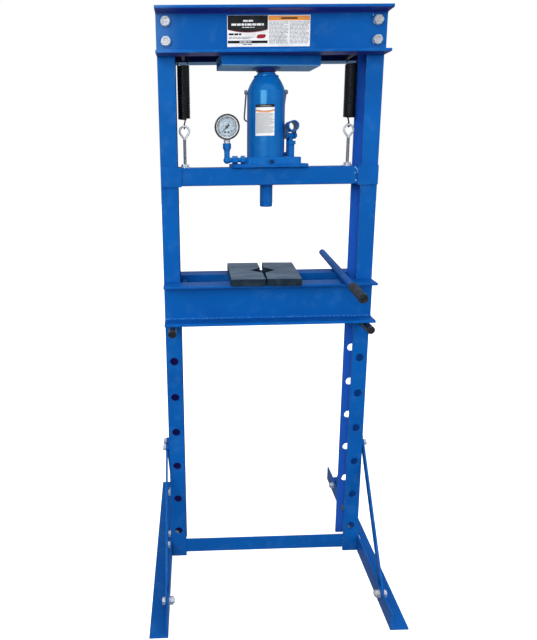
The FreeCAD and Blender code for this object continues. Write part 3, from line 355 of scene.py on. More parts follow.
def slate_plate(name):
    """Cast arbor plate: blue-grey enamel, its top lighter as a painted reflection, long soft smears
    and dark pits.
    """
    f = Finish(name, (0.05, 0.06, 0.08), 0.4)
    # The top is lighter than the sides: a painted reflection.
    up = f.fit(f.facing(2), 0.3, 0.9)
    side = f.blend(f.fit(f.noise(40.0, 5.0), 0.4, 0.7),
                   (0.008, 0.017, 0.030), (0.018, 0.034, 0.054))
    smear = f.noise(26.0, 5.0, (0.35, 1.0, 1.0), 1.0)
    top = f.blend(f.fit(smear, 0.35, 0.70), (0.062, 0.104, 0.165), (0.118, 0.170, 0.250))
    pits = f.times(f.fit(f.cells(120.0), 0.14, 0.06), f.fit(f.noise(14.0, 2.0), 0.5, 0.6))
    top = f.blend(f.times(pits, 0.6), top, (0.03, 0.04, 0.06))
    tone = f.blend(up, side, top)
    tone = f.blend(f.times(f.edge(0.0016), 0.7), tone, (0.30, 0.33, 0.38))
    f.set("Base Color", tone)
    f.set("Roughness", f.fit(f.noise(30.0, 5.0), 0.3, 0.7, 0.30, 0.52))
    f.soften(0.0018)
    f.bump(f.noise(210.0, 5.0), 0.22, 0.0008)
    f.bump(f.noise(12.0, 3.0), 0.20, 0.0030)
    f.set("Specular IOR Level", 0.15)
    return f.material


def rubber(name):
    f = Finish(name, (0.010, 0.012, 0.016), 0.45)
    dust = f.fit(f.noise(45.0, 5.0), 0.45, 0.75)
    f.set("Base Color", f.blend(dust, (0.006, 0.010, 0.015), (0.019, 0.030, 0.042)))
    f.set("Roughness", f.fit(f.noise(120.0, 3.0), 0.3, 0.7, 0.32, 0.55))
    f.soften(0.0006)
    f.bump(f.noise(1500.0, 3.0), 0.25, 0.0003)
    f.set("Specular IOR Level", 0.4)
    f.set("Sheen Weight", 0.05)
    return f.material


def print_ink(name, color, gloss=0.34):
    """Printed vinyl: faint dot grain, a scuffed laminate and slightly uneven ink."""
    f = Finish(name, color, gloss)
    faded = tuple(c * 0.80 + 0.02 for c in color)
    tone = f.blend(f.fit(f.noise(35.0, 4.0), 0.45, 0.75), color, faded)
    tone = f.blend(f.times(f.fit(f.cells(900.0), 0.25, 0.1), 0.12), tone, scaled(color, 0.6))
    f.set("Base Color", tone)
    f.set("Roughness", f.fit(f.noise(60.0, 4.0), 0.3, 0.7, gloss - 0.08, gloss + 0.14))
    f.bump(f.noise(150.0, 2.0), 0.06, 0.0005)
    f.set("Specular IOR Level", 0.15)
    return f.material


def clear_glass(name):
    f = Finish(name, (1.0, 1.0, 1.0), 0.03)
    f.set("Transmission Weight", 1.0)
    f.set("IOR", 1.45)
    f.set("Roughness", f.fit(f.noise(40.0, 4.0), 0.4, 0.8, 0.02, 0.09))
    return f.material


frame_paint = enamel("press_enamel", under=UNDER_PAINTED_SHADE)
box_paint = enamel("thrust_box_enamel", under=UNDER_PAINTED_LIGHT)
rear_paint = enamel("rear_head_enamel", under=UNDER_PAINTED_LIGHT, inside=INSIDE_PAINTED_SHADE)
bed_paint = enamel("bed_enamel", under=UNDER_PAINTED_SHADE, band=BED_ROOT_PAINTED_GLINTS)
post_paint = enamel("post_enamel", under=UNDER_PAINTED_SHADE, within=WITHIN_PAINTED_LIGHT)
left_post_paint = enamel("left_post_enamel", under=UNDER_PAINTED_SHADE, within=WITHIN_PAINTED_SHADE)
head_paint = enamel("head_enamel", under=UNDER_PAINTED_SHADE, haze=HEAD_PAINTED_SHEEN)
weld_paint = paint("weld_enamel", PAINT_BLUE, PAINT_DEEP, PAINT_WORN, 0.28, 0.25, 0.6, 0.2,
                   band=WELD_PAINTED_GLINTS)
# Pale paint on the spatter drops: a painted highlight.
spatter_glint_paint = paint("spatter_glint_enamel", (0.20, 0.46, 0.80), (0.13, 0.34, 0.66),
                      (0.50, 0.74, 0.92), 0.20, 0.5)
jack_paint = paint("jack_enamel", JACK_BLUE, JACK_DEEP, JACK_WORN, 0.11, 0.9, 0.5,
                   flank=(FLANK_PAINTED_SHADE, 0.78, 0.95))
cast_paint = paint("cast_enamel", JACK_BLUE, JACK_DEEP, JACK_WORN, 0.30, 0.3, 0.8, 0.35)
navy_paint = paint("navy_enamel", (0.007, 0.022, 0.118), (0.005, 0.015, 0.082),
                   PAINT_WORN, 0.22, 0.5, 0.5)
# The seat ring's dark violet is painted shade under the thrust box.
cup_shade_paint = paint("cup_shade_enamel", (0.030, 0.026, 0.170), (0.022, 0.020, 0.130),
                  PAINT_WORN, 0.16, 0.9, 0.3)
zinc = plated("bright_zinc", (0.66, 0.72, 0.80), 0.26, 0.46, 0.55)
eye_zinc = plated("eye_zinc", (0.86, 0.92, 0.98), 0.20, 0.38, 0.50)
thread_zinc = plated("thread_zinc", (0.46, 0.48, 0.52), 0.24, 0.42, 0.8)
bezel_finish = plated("bezel_steel", (0.10, 0.14, 0.19), 0.12, 0.24, 0.9)
ground = turned("ground_steel_finish", STEEL, 0.14, 0.30, 2)
saddle_steel = blacked("saddle_oxide", (0.030, 0.036, 0.060), (0.30, 0.32, 0.36), 0.34)
# The pins' lighter rubbed edges are partly wear and partly a painted highlight.
pin_black = blacked("pin_oxide", (0.003, 0.004, 0.007), (0.17, 0.20, 0.24), 0.17, shine=0.8)
spring_black = blacked("spring_oxide", (0.003, 0.004, 0.005), (0.04, 0.05, 0.055),
                       0.22, 500.0, 0.4, 0.6)
slate = slate_plate("slate_enamel")
grip_rubber = rubber("grip_rubber")
needle_black = blacked("needle_enamel", (0.016, 0.017, 0.020), (0.08, 0.08, 0.09), 0.40, 900.0, 0.3)
white_print = print_ink("white_vinyl", WHITE_PRINT)
dial_white = print_ink("dial_face", (0.58, 0.71, 0.83), 0.5)
black_print = print_ink("black_ink", BLACK)
orange_print = print_ink("orange_ink", ORANGE_PRINT)
red_print = print_ink("red_ink", RED_PRINT)
grey_print = print_ink("grey_ink", GREY_PRINT)
umber_print = print_ink("umber_ink", (0.14, 0.10, 0.08))
lens_glass = clear_glass("gauge_glass")

NODE_FINISHES = {
    "head_bolts head_nuts foot_bolts foot_nuts brace_bolts brace_nuts": zinc,
    "eye_bolts eye_bolt_nuts gauge_stem": eye_zinc,
    # The carry bail takes the darker zinc as painted shade.
    "carry_bail": thread_zinc,
    "left_post": left_post_paint,
    "right_post": post_paint,
    "head_front_channel": head_paint,
    "jack_tank jack_gland_nut gauge_pipe pipe_nuts bail_lugs": jack_paint,
    "jack_base pump_cylinder handle_socket pump_link pump_plunger": cast_paint,
    "piston_rod jack_cylinder": ground,
    "release_valve": navy_paint,
    "jack_seat_ring": cup_shade_paint,
    "extension_screw oil_plug piston_seal spring_hanger_pins": saddle_steel,
    "left_bed_pin right_bed_pin": pin_black,
    "left_bolster right_bolster": slate,
    "gauge_case": bezel_finish,
    "thrust_box": box_paint,
    "head_rear_channel": rear_paint,
    "bed_front_channel": bed_paint,
    "gauge_dial": dial_white,
    "gauge_lens": lens_glass,
    "gauge_needle": needle_black,
    "head_label jack_label": white_print,
    "handle_grip": grip_rubber,
    "left_spring right_spring": spring_black,
}


def dress_nodes():
    """Every CAD node gets a worked finish; the painted frame is what the table leaves."""
    chosen = {node: finish for names, finish in NODE_FINISHES.items() for node in names.split()}
    for name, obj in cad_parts.items():
        for place in obj.material_slots:
            place.material = chosen.get(name, frame_paint)


# ---- mesh helpers -------------------------------------------------------------------------------
def piece(name, points, faces, finish, slot, body=None, smooth=True):
    """A mesh piece in the row frame, riding on body when one is given."""
    mesh = bpy.data.meshes.new(name)
    mesh.from_pydata([tuple(p) for p in points], [], faces)
    mesh.materials.append(finish)
    for face in mesh.polygons:
        face.use_smooth = smooth
    mesh.update()
    made = bpy.data.objects.new(name, mesh)
    bpy.context.scene.collection.objects.link(made)
    if body:
        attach(made, body)
    return made


def cross_frames(path):
    """A pair of axes across each point of a path, turned as little as possible on the way."""
    frames = []
    side = None
    for k, point in enumerate(path):
        ahead = (path[min(k + 1, len(path) - 1)] - path[max(k - 1, 0)]).normalized()
        if side is None:
            side = ahead.orthogonal().normalized()
        side = (side - ahead * side.dot(ahead)).normalized()
        frames.append((point, side, ahead.cross(side)))
    return frames


def tube_faces(rings, sides):
    """Faces of a row of rings of points, closed at both ends."""
    faces = []
    for start in range(0, (rings - 1) * sides, sides):
        for k in range(sides):
            a, b = start + k, start + (k + 1) % sides
            faces.append((a, b, b + sides, a + sides))
    faces.append(tuple(reversed(range(sides))))
    faces.append(tuple(range((rings - 1) * sides, rings * sides)))
    return faces


def swept(path, radii, sides):
    """Points and faces of a round bar along path, closed at both ends."""
    points = []
    for (centre, u, v), radius in zip(cross_frames(path), radii):
        for k in range(sides):
            turn = 2 * math.pi * k / sides
            points.append(centre + (u * math.cos(turn) + v * math.sin(turn)) * radius)
    return points, tube_faces(len(path), sides)


def join_shapes(shapes):
    """One point and face list from several."""
    points, faces = [], []
    for more, cells in shapes:
        shift = len(points)
        points += more
        faces += [tuple(i + shift for i in cell) for cell in cells]
    return points, faces


def turned_shape(outline, start, axis, sides, wave=None):
    """Solid of revolution.

    outline is (radius, distance along axis) from end to end, and wave(angle, distance) is added
    to its radius.
    """
    axis = axis.normalized()
    u = axis.orthogonal().normalized()
    v = axis.cross(u)
    points = []
    for radius, along in outline:
        for k in range(sides):
            turn = 2 * math.pi * k / sides
            r = radius + (wave(turn, along) if wave else 0.0)
            points.append(start + axis * along + (u * math.cos(turn) + v * math.sin(turn)) * r)
    return points, tube_faces(len(outline), sides)


def centre_of(node):
    low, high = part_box(node)
    return (low + high) / 2


# ---- springs ------------------------------------------------------------------------------------
def hook(centre, radius, start, end, across):
    """Arc of wire round centre, in the plane of across and +Z; angles in degrees from across."""
    count = 30
    turns = [math.radians(start + (end - start) * k / count) for k in range(count + 1)]
    return [centre + across * (radius * math.cos(t)) + Z_AXIS * (radius * math.sin(t))
            for t in turns]


def coil_path(x, low, high, mean_r, outward):
    """Coils from the middle of the bottom turn up to the outer side of the top turn."""
    steps = int(SPRING_TURNS * 22)
    finish = 0.0 if outward > 0 else math.pi
    path = []
    for k in range(steps + 1):
        turn = finish - 2 * math.pi * SPRING_TURNS * (steps - k) / steps
        reach = mean_r * min(1.0, 0.25 + k / 14)
        rise = low + (high - low) * k / steps
        path.append(Vector((x + math.cos(turn) * reach, math.sin(turn) * reach, rise)))
    return path


def eased(points):
    """Corner-cut a path twice so the joins between its runs bend like wire."""
    for _ in range(2):
        cut = [points[0]]
        for a, b in zip(points, points[1:]):
            cut += [a.lerp(b, 0.25), a.lerp(b, 0.75)]
        points = cut + [points[-1]]
    return points


def make_spring(side):
    """Wire from the hook on the eye bolt, up through the coils, to a loop on the hanger pin."""
    node = "left_spring" if side < 0 else "right_spring"
    low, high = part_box(node)
    x = (low.x + high.x) / 2
    coil_r = (high.x - low.x) / 2 - SPRING_WIRE_R
    hook_r = EYE_WIRE_R + SPRING_WIRE_R + 0.4 * MM
    eye_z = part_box("eye_bolts")[1].z - EYE_WIRE_R
    coil_low = eye_z + hook_r + SPRING_STEM
    loop_z = high.z - SPRING_WIRE_R - coil_r
    coil_high = loop_z - coil_r - 1.0 * MM
    low_hook = hook(Vector((x, 0, eye_z)), hook_r, -150, 90, Y_AXIS)
    coil = coil_path(x, coil_low, coil_high, coil_r, side)
    loop = hook(Vector((x, 0, loop_z)), coil_r, 0, 225, X_AXIS * side)
    low_join = eased([low_hook[-1], low_hook[-1].lerp(coil[0], 0.5) + Z_AXIS * MM, coil[0]])
    high_join = eased([coil[-1], coil[-1].lerp(loop[0], 0.3), coil[-1].lerp(loop[0], 0.7), loop[0]])
    path = low_hook[:-1] + low_join[:-1] + coil + high_join[1:-1] + loop
    first = len(low_hook) + len(low_join) - 2
    last = first + len(coil)
    shares = [min(1.0, max(0.0, (k - first) / (last - first))) for k in range(len(path))]
    points, faces = swept(path, [SPRING_WIRE_R] * len(path), HOOK_SIDES)
    top, bottom = Vector((x, 0, coil_high)), Vector((x, 0, coil_low))
    # Each ring of the wire starts at one guide point on the axis; the swept points then take their
    # place.
    even = [0.5 - math.sin(math.asin(1 - 2 * (1 - share)) / 3) for share in shares]
    guides = [top.lerp(bottom, e) for e in even for _ in range(HOOK_SIDES)]
    made = piece(node + "_wire", guides, faces, spring_black, "spring_black")
    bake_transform(made)
    for vertex, point in zip(made.data.vertices, points):
        vertex.co = point
    made.data.update()
    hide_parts(node)


# ---- threads and welds --------------------------------------------------------------------------
def thread_shape(start, axis, radius, pitch, length):
    """Rolled thread around a shank whose radius is the root."""
    depth = pitch * 0.45
    rows = max(2, int(length / pitch * 6))
    outline = [(radius, length * k / rows) for k in range(rows + 1)]

    def crest(turn, along):
        phase = (along / pitch - turn / (2 * math.pi)) % 1.0
        end = min(1.0, along / pitch, (length - along) / pitch)
        return depth * (1 - abs(2 * phase - 1)) * end + 0.02 * MM

    return turned_shape(outline, start, axis, 20, crest)


def make_threads():
    low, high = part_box("eye_bolts")
    nut_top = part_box("eye_bolt_nuts")[1].z
    length = high.z - THREAD_DROP - nut_top
    shapes = [thread_shape(Vector((x, 0, nut_top)), Z_AXIS, SHANK_R, 1.5 * MM, length)
              for x in (low.x + EYE_REACH, high.x - EYE_REACH)]
    piece("eye_bolt_threads", *join_shapes(shapes), thread_zinc, "zinc_hardware", "ram_beam")


def weld_shape(start, end, radius, seed):
    """Stacked-ripple bead between two points, a little uneven along its length."""
    rng = random.Random(seed)
    length = (end - start).length
    count = max(6, int(length / (0.55 * MM)))
    drift = [rng.uniform(-1, 1) for _ in range(12)]
    path, radii = [], []
    for k in range(count + 1):
        share = k / count
        wander = sum(d * math.sin((n + 1) * 2.1 * share * length / 0.05 + n)
                     for n, d in enumerate(drift)) / 12
        ripple = 1 + 0.13 * (1 - abs(2 * ((share * length / (2.3 * MM)) % 1) - 1)) + 0.12 * wander
        taper = min(1.0, 0.35 + share * count / 3, 0.35 + (1 - share) * count / 3)
        path.append(start.lerp(end, share))
        radii.append(radius * ripple * taper)
    return swept(path, radii, 10)


def ring_weld_shape(centre, ring_r, radius, seed):
    """Bead once round a level circle."""
    rng = random.Random(seed)
    phase = rng.uniform(0, 6.28)
    count = int(2 * math.pi * ring_r / (0.6 * MM))
    path, radii = [], []
    for k in range(count + 1):
        turn = 2 * math.pi * k / count
        path.append(centre + Vector((math.cos(turn), math.sin(turn), 0)) * ring_r)
        along = turn * ring_r
        radii.append(radius * (1 + 0.13 * (1 - abs(2 * ((along / (2.2 * MM)) % 1) - 1))
                               + 0.08 * math.sin(5 * turn + phase)))
    return swept(path, radii, 10)


def make_welds():
    beam_low, beam_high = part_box("crossbeam")
    guide_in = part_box("guide_plates")[1].x - GUIDE_WIDTH
    shapes = []
    for side in (-1, 1):
        for front in (-1, 1):
            y = front * beam_high.y
            x = side * guide_in
            low = Vector((x, y, beam_low.z + 2 * MM))
            high = Vector((x, y, beam_high.z - 2 * MM))
            shapes.append(weld_shape(low, high, WELD_R, 3 + side + 5 * front))
            for z in (beam_low.z, beam_high.z):
                a = Vector((side * (guide_in + 1 * MM), y, z))
                b = Vector((side * (beam_high.x - 1 * MM), y, z))
                shapes.append(weld_shape(a, b, WELD_R * 0.8, int(z * 1000) + side))
    piece("guide_plate_welds", *join_shapes(shapes), weld_paint, "frame_paint", "ram_beam")

    ram_low, ram_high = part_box("ram")
    ram_r = (ram_high.x - ram_low.x) / 2
    ram_top = Vector((ram_low.x + ram_r, 0, beam_low.z))
    ring = ring_weld_shape(ram_top, ram_r + 0.6 * MM, HEAVY_WELD_R, 4)
    piece("ram_weld", *ring, weld_paint, "frame_paint", "ram_beam")

    seat_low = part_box("jack_seat_plate")[0]
    shapes = []
    for front in (-1, 1):
        for x in (-70, -10, 50):
            a = Vector((x * MM, front * beam_high.y, seat_low.z - 0.4 * MM))
            shapes.append(weld_shape(a, a + X_AXIS * WELD_STITCH, WELD_R, 40 + x + front))
    piece("seat_plate_welds", *join_shapes(shapes), weld_paint, "frame_paint", "ram_beam")

    box_low, box_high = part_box("thrust_box")
    cup_low, cup_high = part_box("jack_seat_ring")
    cup_r = (cup_high.x - cup_low.x) / 2
    cup_top = Vector((cup_low.x + cup_r, 0, box_low.z))
    shapes = [ring_weld_shape(cup_top, cup_r + 0.4 * MM, 1.9 * MM, 8)]
    askew = Matrix.Rotation(BOX_TURN, 3, "Z")
    middle = Vector(((box_low.x + box_high.x) / 2, 0, box_high.z))
    for side in (-1, 1):
        a = middle + askew @ Vector((side * BOX_HALF_X, -BOX_HALF_Y + 4 * MM, 0))
        b = middle + askew @ Vector((side * BOX_HALF_X, BOX_HALF_Y - 4 * MM, 0))
        shapes.append(weld_shape(a, b, HEAVY_WELD_R, 60 + side))
    piece("thrust_box_welds", *join_shapes(shapes), weld_paint, "frame_paint", "frame")

    spacer_low, spacer_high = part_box("bed_spacers")
    shapes = []
    for side in (-1, 1):
        for front in (-1, 1):
            for x in (spacer_high.x, spacer_high.x - 12 * MM):
                a = Vector((side * x, front * spacer_high.y, spacer_low.z + 2 * MM))
                b = Vector((side * x, front * spacer_high.y, spacer_high.z - 2 * MM))
                shapes.append(weld_shape(a, b, WELD_R, int(x * 1000) + side * 7 + front))
    piece("bed_spacer_welds", *join_shapes(shapes), weld_paint, "frame_paint", "bed")

    brace_low, brace_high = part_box("lower_cross_brace")
    post_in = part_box("right_post")[0].x
    shapes = []
    for side in (-1, 1):
        for z in (brace_low.z, brace_high.z):
            a = Vector((side * (post_in + 1 * MM), brace_low.y, z))
            b = Vector((side * (brace_high.x - 1 * MM), brace_low.y, z))
            shapes.append(weld_shape(a, b, WELD_R, int(z * 1000) + side))
        a = Vector((side * post_in, brace_low.y, brace_low.z + 1 * MM))
        b = Vector((side * post_in, brace_low.y, brace_high.z - 1 * MM))
        shapes.append(weld_shape(a, b, WELD_R * 0.9, 90 + side))
    piece("cross_brace_welds", *join_shapes(shapes), weld_paint, "frame_paint", "frame")


def drop(place, radius):
    """Flattened bead on a face that looks to the front."""
    outline = [(radius, -0.3 * MM), (radius, 0.0), (radius * 0.86, radius * 0.38),
               (radius * 0.52, radius * 0.62), (radius * 0.10, radius * 0.70)]
    return turned_shape(outline, place, -Y_AXIS, 14)


def make_spatter():
    """Drops of weld spatter beside the right-hand joints, pale as a painted highlight."""
    beam_low, beam_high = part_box("crossbeam")
    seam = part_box("guide_plates")[1].x - GUIDE_WIDTH
    tall = beam_high.z - beam_low.z
    shapes = [drop(Vector((seam + x * MM, beam_low.y, beam_low.z + share * tall)), r * MM)
              for x, share, r in BEAM_SPATTER]
    piece("beam_spatter", *join_shapes(shapes), spatter_glint_paint, "frame_paint", "ram_beam")
    web_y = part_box("head_label")[1].y
    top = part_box("head_front_channel")[1].z
    shapes = [drop(Vector((x * MM, web_y, top + z * MM)), r * MM) for x, z, r in HEAD_SPATTER]
    piece("head_spatter", *join_shapes(shapes), spatter_glint_paint, "frame_paint", "frame")


# ---- labels and dial ----------------------------------------------------------------------------
def decal(name, outlines, place, finish, body, slot, cuts=1):
    """Flat outlines in label units laid on a surface by place(u, v).

    A bar is bent to the surface in as many steps along u as cuts says.
    """
    points, faces = [], []
    for outline in outlines:
        start = len(points)
        if len(outline) == 4 and cuts > 1:
            (u0, v0), (u1, v1) = outline[0], outline[2]
            for k in range(cuts + 1):
                u = u0 + (u1 - u0) * k / cuts
                points += [place(u, v0), place(u, v1)]
            faces += [(start + 2 * k, start + 2 * k + 2, start + 2 * k + 3, start + 2 * k + 1)
                      for k in range(cuts)]
        else:
            points += [place(u, v) for u, v in outline]
            faces.append(tuple(range(start, len(points))))
    made = piece(name, points, faces, finish, slot, body, smooth=False)
    film = made.modifiers.new("film", "SOLIDIFY")
    film.thickness = 0.05 * MM
    return made


def bar(u0, u1, v0, v1):
    return [(u0, v0), (u1, v0), (u1, v1), (u0, v1)]


def word_bars(u0, u1, v_top, v_low, rows, seed, fill, word=(0.02, 0.07)):
    """Rows of short bars that stand for small print without being any."""
    rng = random.Random(seed)
    step = (v_top - v_low) / rows
    bars = []
    for row in range(rows):
        v = v_top - step * row
        end = u1 - (rng.uniform(0.0, 0.3) * (u1 - u0) if rng.random() < 0.25 else 0.0)
        u = u0
        while u < end - 0.01:
            stop = min(end, u + rng.uniform(*word))
            bars.append(bar(u, stop, v - step * fill, v))
            u = stop + 0.008
    return bars


def sagging_edge(u0, u1, v_side, v_mid, count=24):
    """Edge that hangs from v_side at both ends to v_mid in the middle."""
    shares = [k / count for k in range(count + 1)]
    return [(u0 + (u1 - u0) * share, v_side + (v_mid - v_side) * 4 * share * (1 - share))
            for share in shares]


def sagging_panel(u0, u1, v_top, v_side, v_mid):
    """Panel whose lower edge hangs down in the middle."""
    return sagging_edge(u0, u1, v_side, v_mid) + [(u1, v_top), (u0, v_top)]


def sagging_line(u0, u1, v_side, v_mid, thick):
    upper = sagging_edge(u0, u1, v_side, v_mid)
    return upper + [(u, v - thick) for u, v in reversed(upper)]


def lozenge(u, v, width, height):
    """Rounded leaning patch."""
    spots = []
    for k in range(28):
        turn = 2 * math.pi * k / 28
        c, s = math.cos(turn), math.sin(turn)
        x = width / 2 * math.copysign(abs(c) ** 0.55, c)
        y = height / 2 * math.copysign(abs(s) ** 0.55, s)
        spots.append((u + x + 0.15 * y, v + y))
    return spots


def make_head_label():
    low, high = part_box("head_label")
    width, height = high.x - low.x, high.z - low.z

    def at(layer):
        def place(u, v):
            return Vector((low.x + u * width, low.y - layer * PRINT_LAYER, low.z + v * height))
        return place

    half = 0.488
    black = [sagging_panel(0.006, half, 0.994, 0.56, 0.47), bar(0.006, half, 0.11, 0.195)]
    decal("head_label_black", black, at(1), black_print, "frame", "head_label")
    red = [sagging_line(0.006, half, 0.56, 0.47, 0.018), lozenge(0.41, 0.33, 0.105, 0.13)]
    decal("head_label_red", red, at(1), red_print, "frame", "head_label")
    orange = [bar(half + 0.008, 0.994, 0.83, 0.975)]
    decal("head_label_orange", orange, at(1), orange_print, "frame", "head_label")
    white = word_bars(0.19, 0.31, 0.85, 0.78, 1, 5, 0.8)
    white += word_bars(0.05, 0.44, 0.74, 0.66, 1, 6, 0.85)
    white += word_bars(0.18, 0.33, 0.63, 0.59, 1, 7, 0.6)
    white += word_bars(0.15, 0.35, 0.17, 0.135, 1, 8, 0.9)
    decal("head_label_light_rows", white, at(2), white_print, "frame", "head_label")
    dark = word_bars(0.02, 0.17, 0.43, 0.36, 1, 9, 0.9, (0.04, 0.09))
    dark += word_bars(0.02, 0.32, 0.31, 0.23, 2, 10, 0.35)
    dark += word_bars(0.19, 0.30, 0.085, 0.055, 1, 11, 0.8)
    dark += [bar(0.645, 0.845, 0.875, 0.925)]
    decal("head_label_dark_rows", dark, at(2), black_print, "frame", "head_label")
    rows = word_bars(0.505, 0.735, 0.79, 0.08, 17, 12, 0.52, (0.01, 0.05))
    rows += word_bars(0.755, 0.985, 0.79, 0.08, 17, 13, 0.52, (0.01, 0.05))
    decal("head_label_grey_rows", rows, at(1), grey_print, "frame", "head_label")


def make_jack_label():
    low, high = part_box("jack_label")
    tank_low, tank_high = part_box("jack_tank")
    middle = (tank_low.x + tank_high.x) / 2
    radius = (tank_high.y - tank_low.y) / 2 + 0.4 * MM
    left, right = math.asin((low.x - middle) / radius), math.asin((high.x - middle) / radius)

    def at(layer):
        def place(u, v):
            turn = left + (right - left) * u
            reach = radius + layer * PRINT_LAYER
            across = Vector((middle + math.sin(turn) * reach, -math.cos(turn) * reach, low.z))
            return across + Z_AXIS * (v * (high.z - low.z))
        return place

    wave = sagging_edge(0.0, 1.0, 0.825, 0.775, 40)

    def ribbon(up, down):
        return [[(u0, v0 + up), (u1, v1 + up), (u1, v1 - down), (u0, v0 - down)]
                for (u0, v0), (u1, v1) in zip(wave, wave[1:])]

    black = [bar(0.0, 1.0, 0.905, 1.0)]
    decal("jack_label_black", black, at(1), black_print, "ram_beam", "jack_label", 12)
    orange = ribbon(0.0, 0.036)
    decal("jack_label_orange", orange, at(1), orange_print, "ram_beam", "jack_label")
    decal("jack_label_line", ribbon(0.018, 0.0), at(1), umber_print, "ram_beam", "jack_label")
    rows = word_bars(0.02, 0.98, 0.73, 0.07, 26, 21, 0.60, (0.02, 0.09))
    decal("jack_label_grey_rows", rows, at(1), grey_print, "ram_beam", "jack_label", 2)
    rows = word_bars(0.25, 0.80, 0.965, 0.935, 1, 22, 0.6, (0.05, 0.12))
    decal("jack_label_light_rows", rows, at(2), grey_print, "ram_beam", "jack_label", 2)


def radial_bar(turn, r0, r1, width):
    """Bar that points out from the dial centre; turn is clockwise from the top, in degrees."""
    a = math.radians(turn)
    out, across = (math.sin(a), math.cos(a)), (math.cos(a), -math.sin(a))
    corners = [(r0, -1), (r1, -1), (r1, 1), (r0, 1)]
    return [(out[0] * r + across[0] * s * width / 2, out[1] * r + across[1] * s * width / 2)
            for r, s in corners]


def arc_band(start, end, r0, r1):
    turns = [math.radians(start + (end - start) * k / 60) for k in range(61)]
    outer = [(math.sin(t) * r1, math.cos(t) * r1) for t in turns]
    return outer + [(math.sin(t) * r0, math.cos(t) * r0) for t in reversed(turns)]


def make_dial():
    low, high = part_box("gauge_dial")
    centre = Vector(((low.x + high.x) / 2, low.y, (low.z + high.z) / 2))
    radius = (high.x - low.x) / 2

    def place(u, v):
        return centre + Vector((u * radius, -PRINT_LAYER, v * radius))

    ticks = [arc_band(-DIAL_SWEEP, DIAL_SWEEP, 0.895, 0.915)]
    for k in range(51):
        major = k % 5 == 0
        turn = -DIAL_SWEEP + 2 * DIAL_SWEEP * k / 50
        inner, width = (0.80, 0.034) if major else (0.85, 0.014)
        ticks.append(radial_bar(turn, inner, 0.90, width))
    decal("dial_ticks", ticks, place, black_print, "ram_beam", "dial_white")
    reds = [arc_band(-DIAL_SWEEP, DIAL_SWEEP, 0.735, 0.748)]
    reds += [radial_bar(-DIAL_SWEEP + 2 * DIAL_SWEEP * k / 30, 0.69, 0.74, 0.012)
             for k in range(31)]
    decal("dial_inner_scale", reds, place, red_print, "ram_beam", "dial_white")
    units = [bar(-0.24, -0.08, -0.52, -0.38), bar(0.07, 0.23, -0.52, -0.38)]
    decal("dial_unit_marks", units, place, black_print, "ram_beam", "dial_white")
    for number in range(0, 11, 2):
        turn = math.radians(-DIAL_SWEEP + 2 * DIAL_SWEEP * number / 10)
        spot = place(math.sin(turn) * 0.56, math.cos(turn) * 0.56)
        text = bpy.data.curves.new("dial_number", "FONT")
        text.body = str(number)
        text.size = 5.2 * MM
        text.align_x = "CENTER"
        text.align_y = "CENTER"
        text.extrude = 0.02 * MM
        shape = bpy.data.objects.new("dial_number_%d" % number, text)
        bpy.context.scene.collection.objects.link(shape)
        shape.location = spot
        shape.rotation_euler = (math.pi / 2, 0, 0)
        text.materials.append(black_print)
        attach(shape, "ram_beam")


def make_bezel():
    """Rolled steel ring that holds the glass, with a pale ring inside its lip."""
    low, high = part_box("gauge_case")
    radius = (high.x - low.x) / 2
    start = Vector(((low.x + high.x) / 2, low.y, (low.z + high.z) / 2))
    rim = []
    for k in range(13):
        turn = math.pi * k / 12
        rim.append((radius - 2.2 * MM - 1.9 * MM * math.cos(turn),
                    1.6 * MM - 1.5 * MM * math.sin(turn)))
    points, faces = ring_shape(rim, start, Y_AXIS, 96)
    piece("gauge_bezel", points, faces, bezel_finish, "gauge_case", "ram_beam")
    outer, inner = radius - 4.1 * MM, radius - 6.0 * MM
    lip = [(outer, 0.9 * MM), (outer, 2.0 * MM), (inner, 2.0 * MM), (inner, 1.5 * MM)]
    points, faces = ring_shape(lip, start, Y_AXIS, 96)
    piece("gauge_gasket", points, faces, white_print, "gauge_case", "ram_beam", smooth=False)


def ring_shape(outline, start, axis, sides):
    """Closed ring made by turning a closed outline of (radius, distance along axis)."""
    points, faces = turned_shape(outline, start, axis, sides)
    faces = faces[:-2]      # without the two end caps
    last = (len(outline) - 1) * sides
    for k in range(sides):
        faces.append((last + k, last + (k + 1) % sides, (k + 1) % sides, k))
    return points, faces


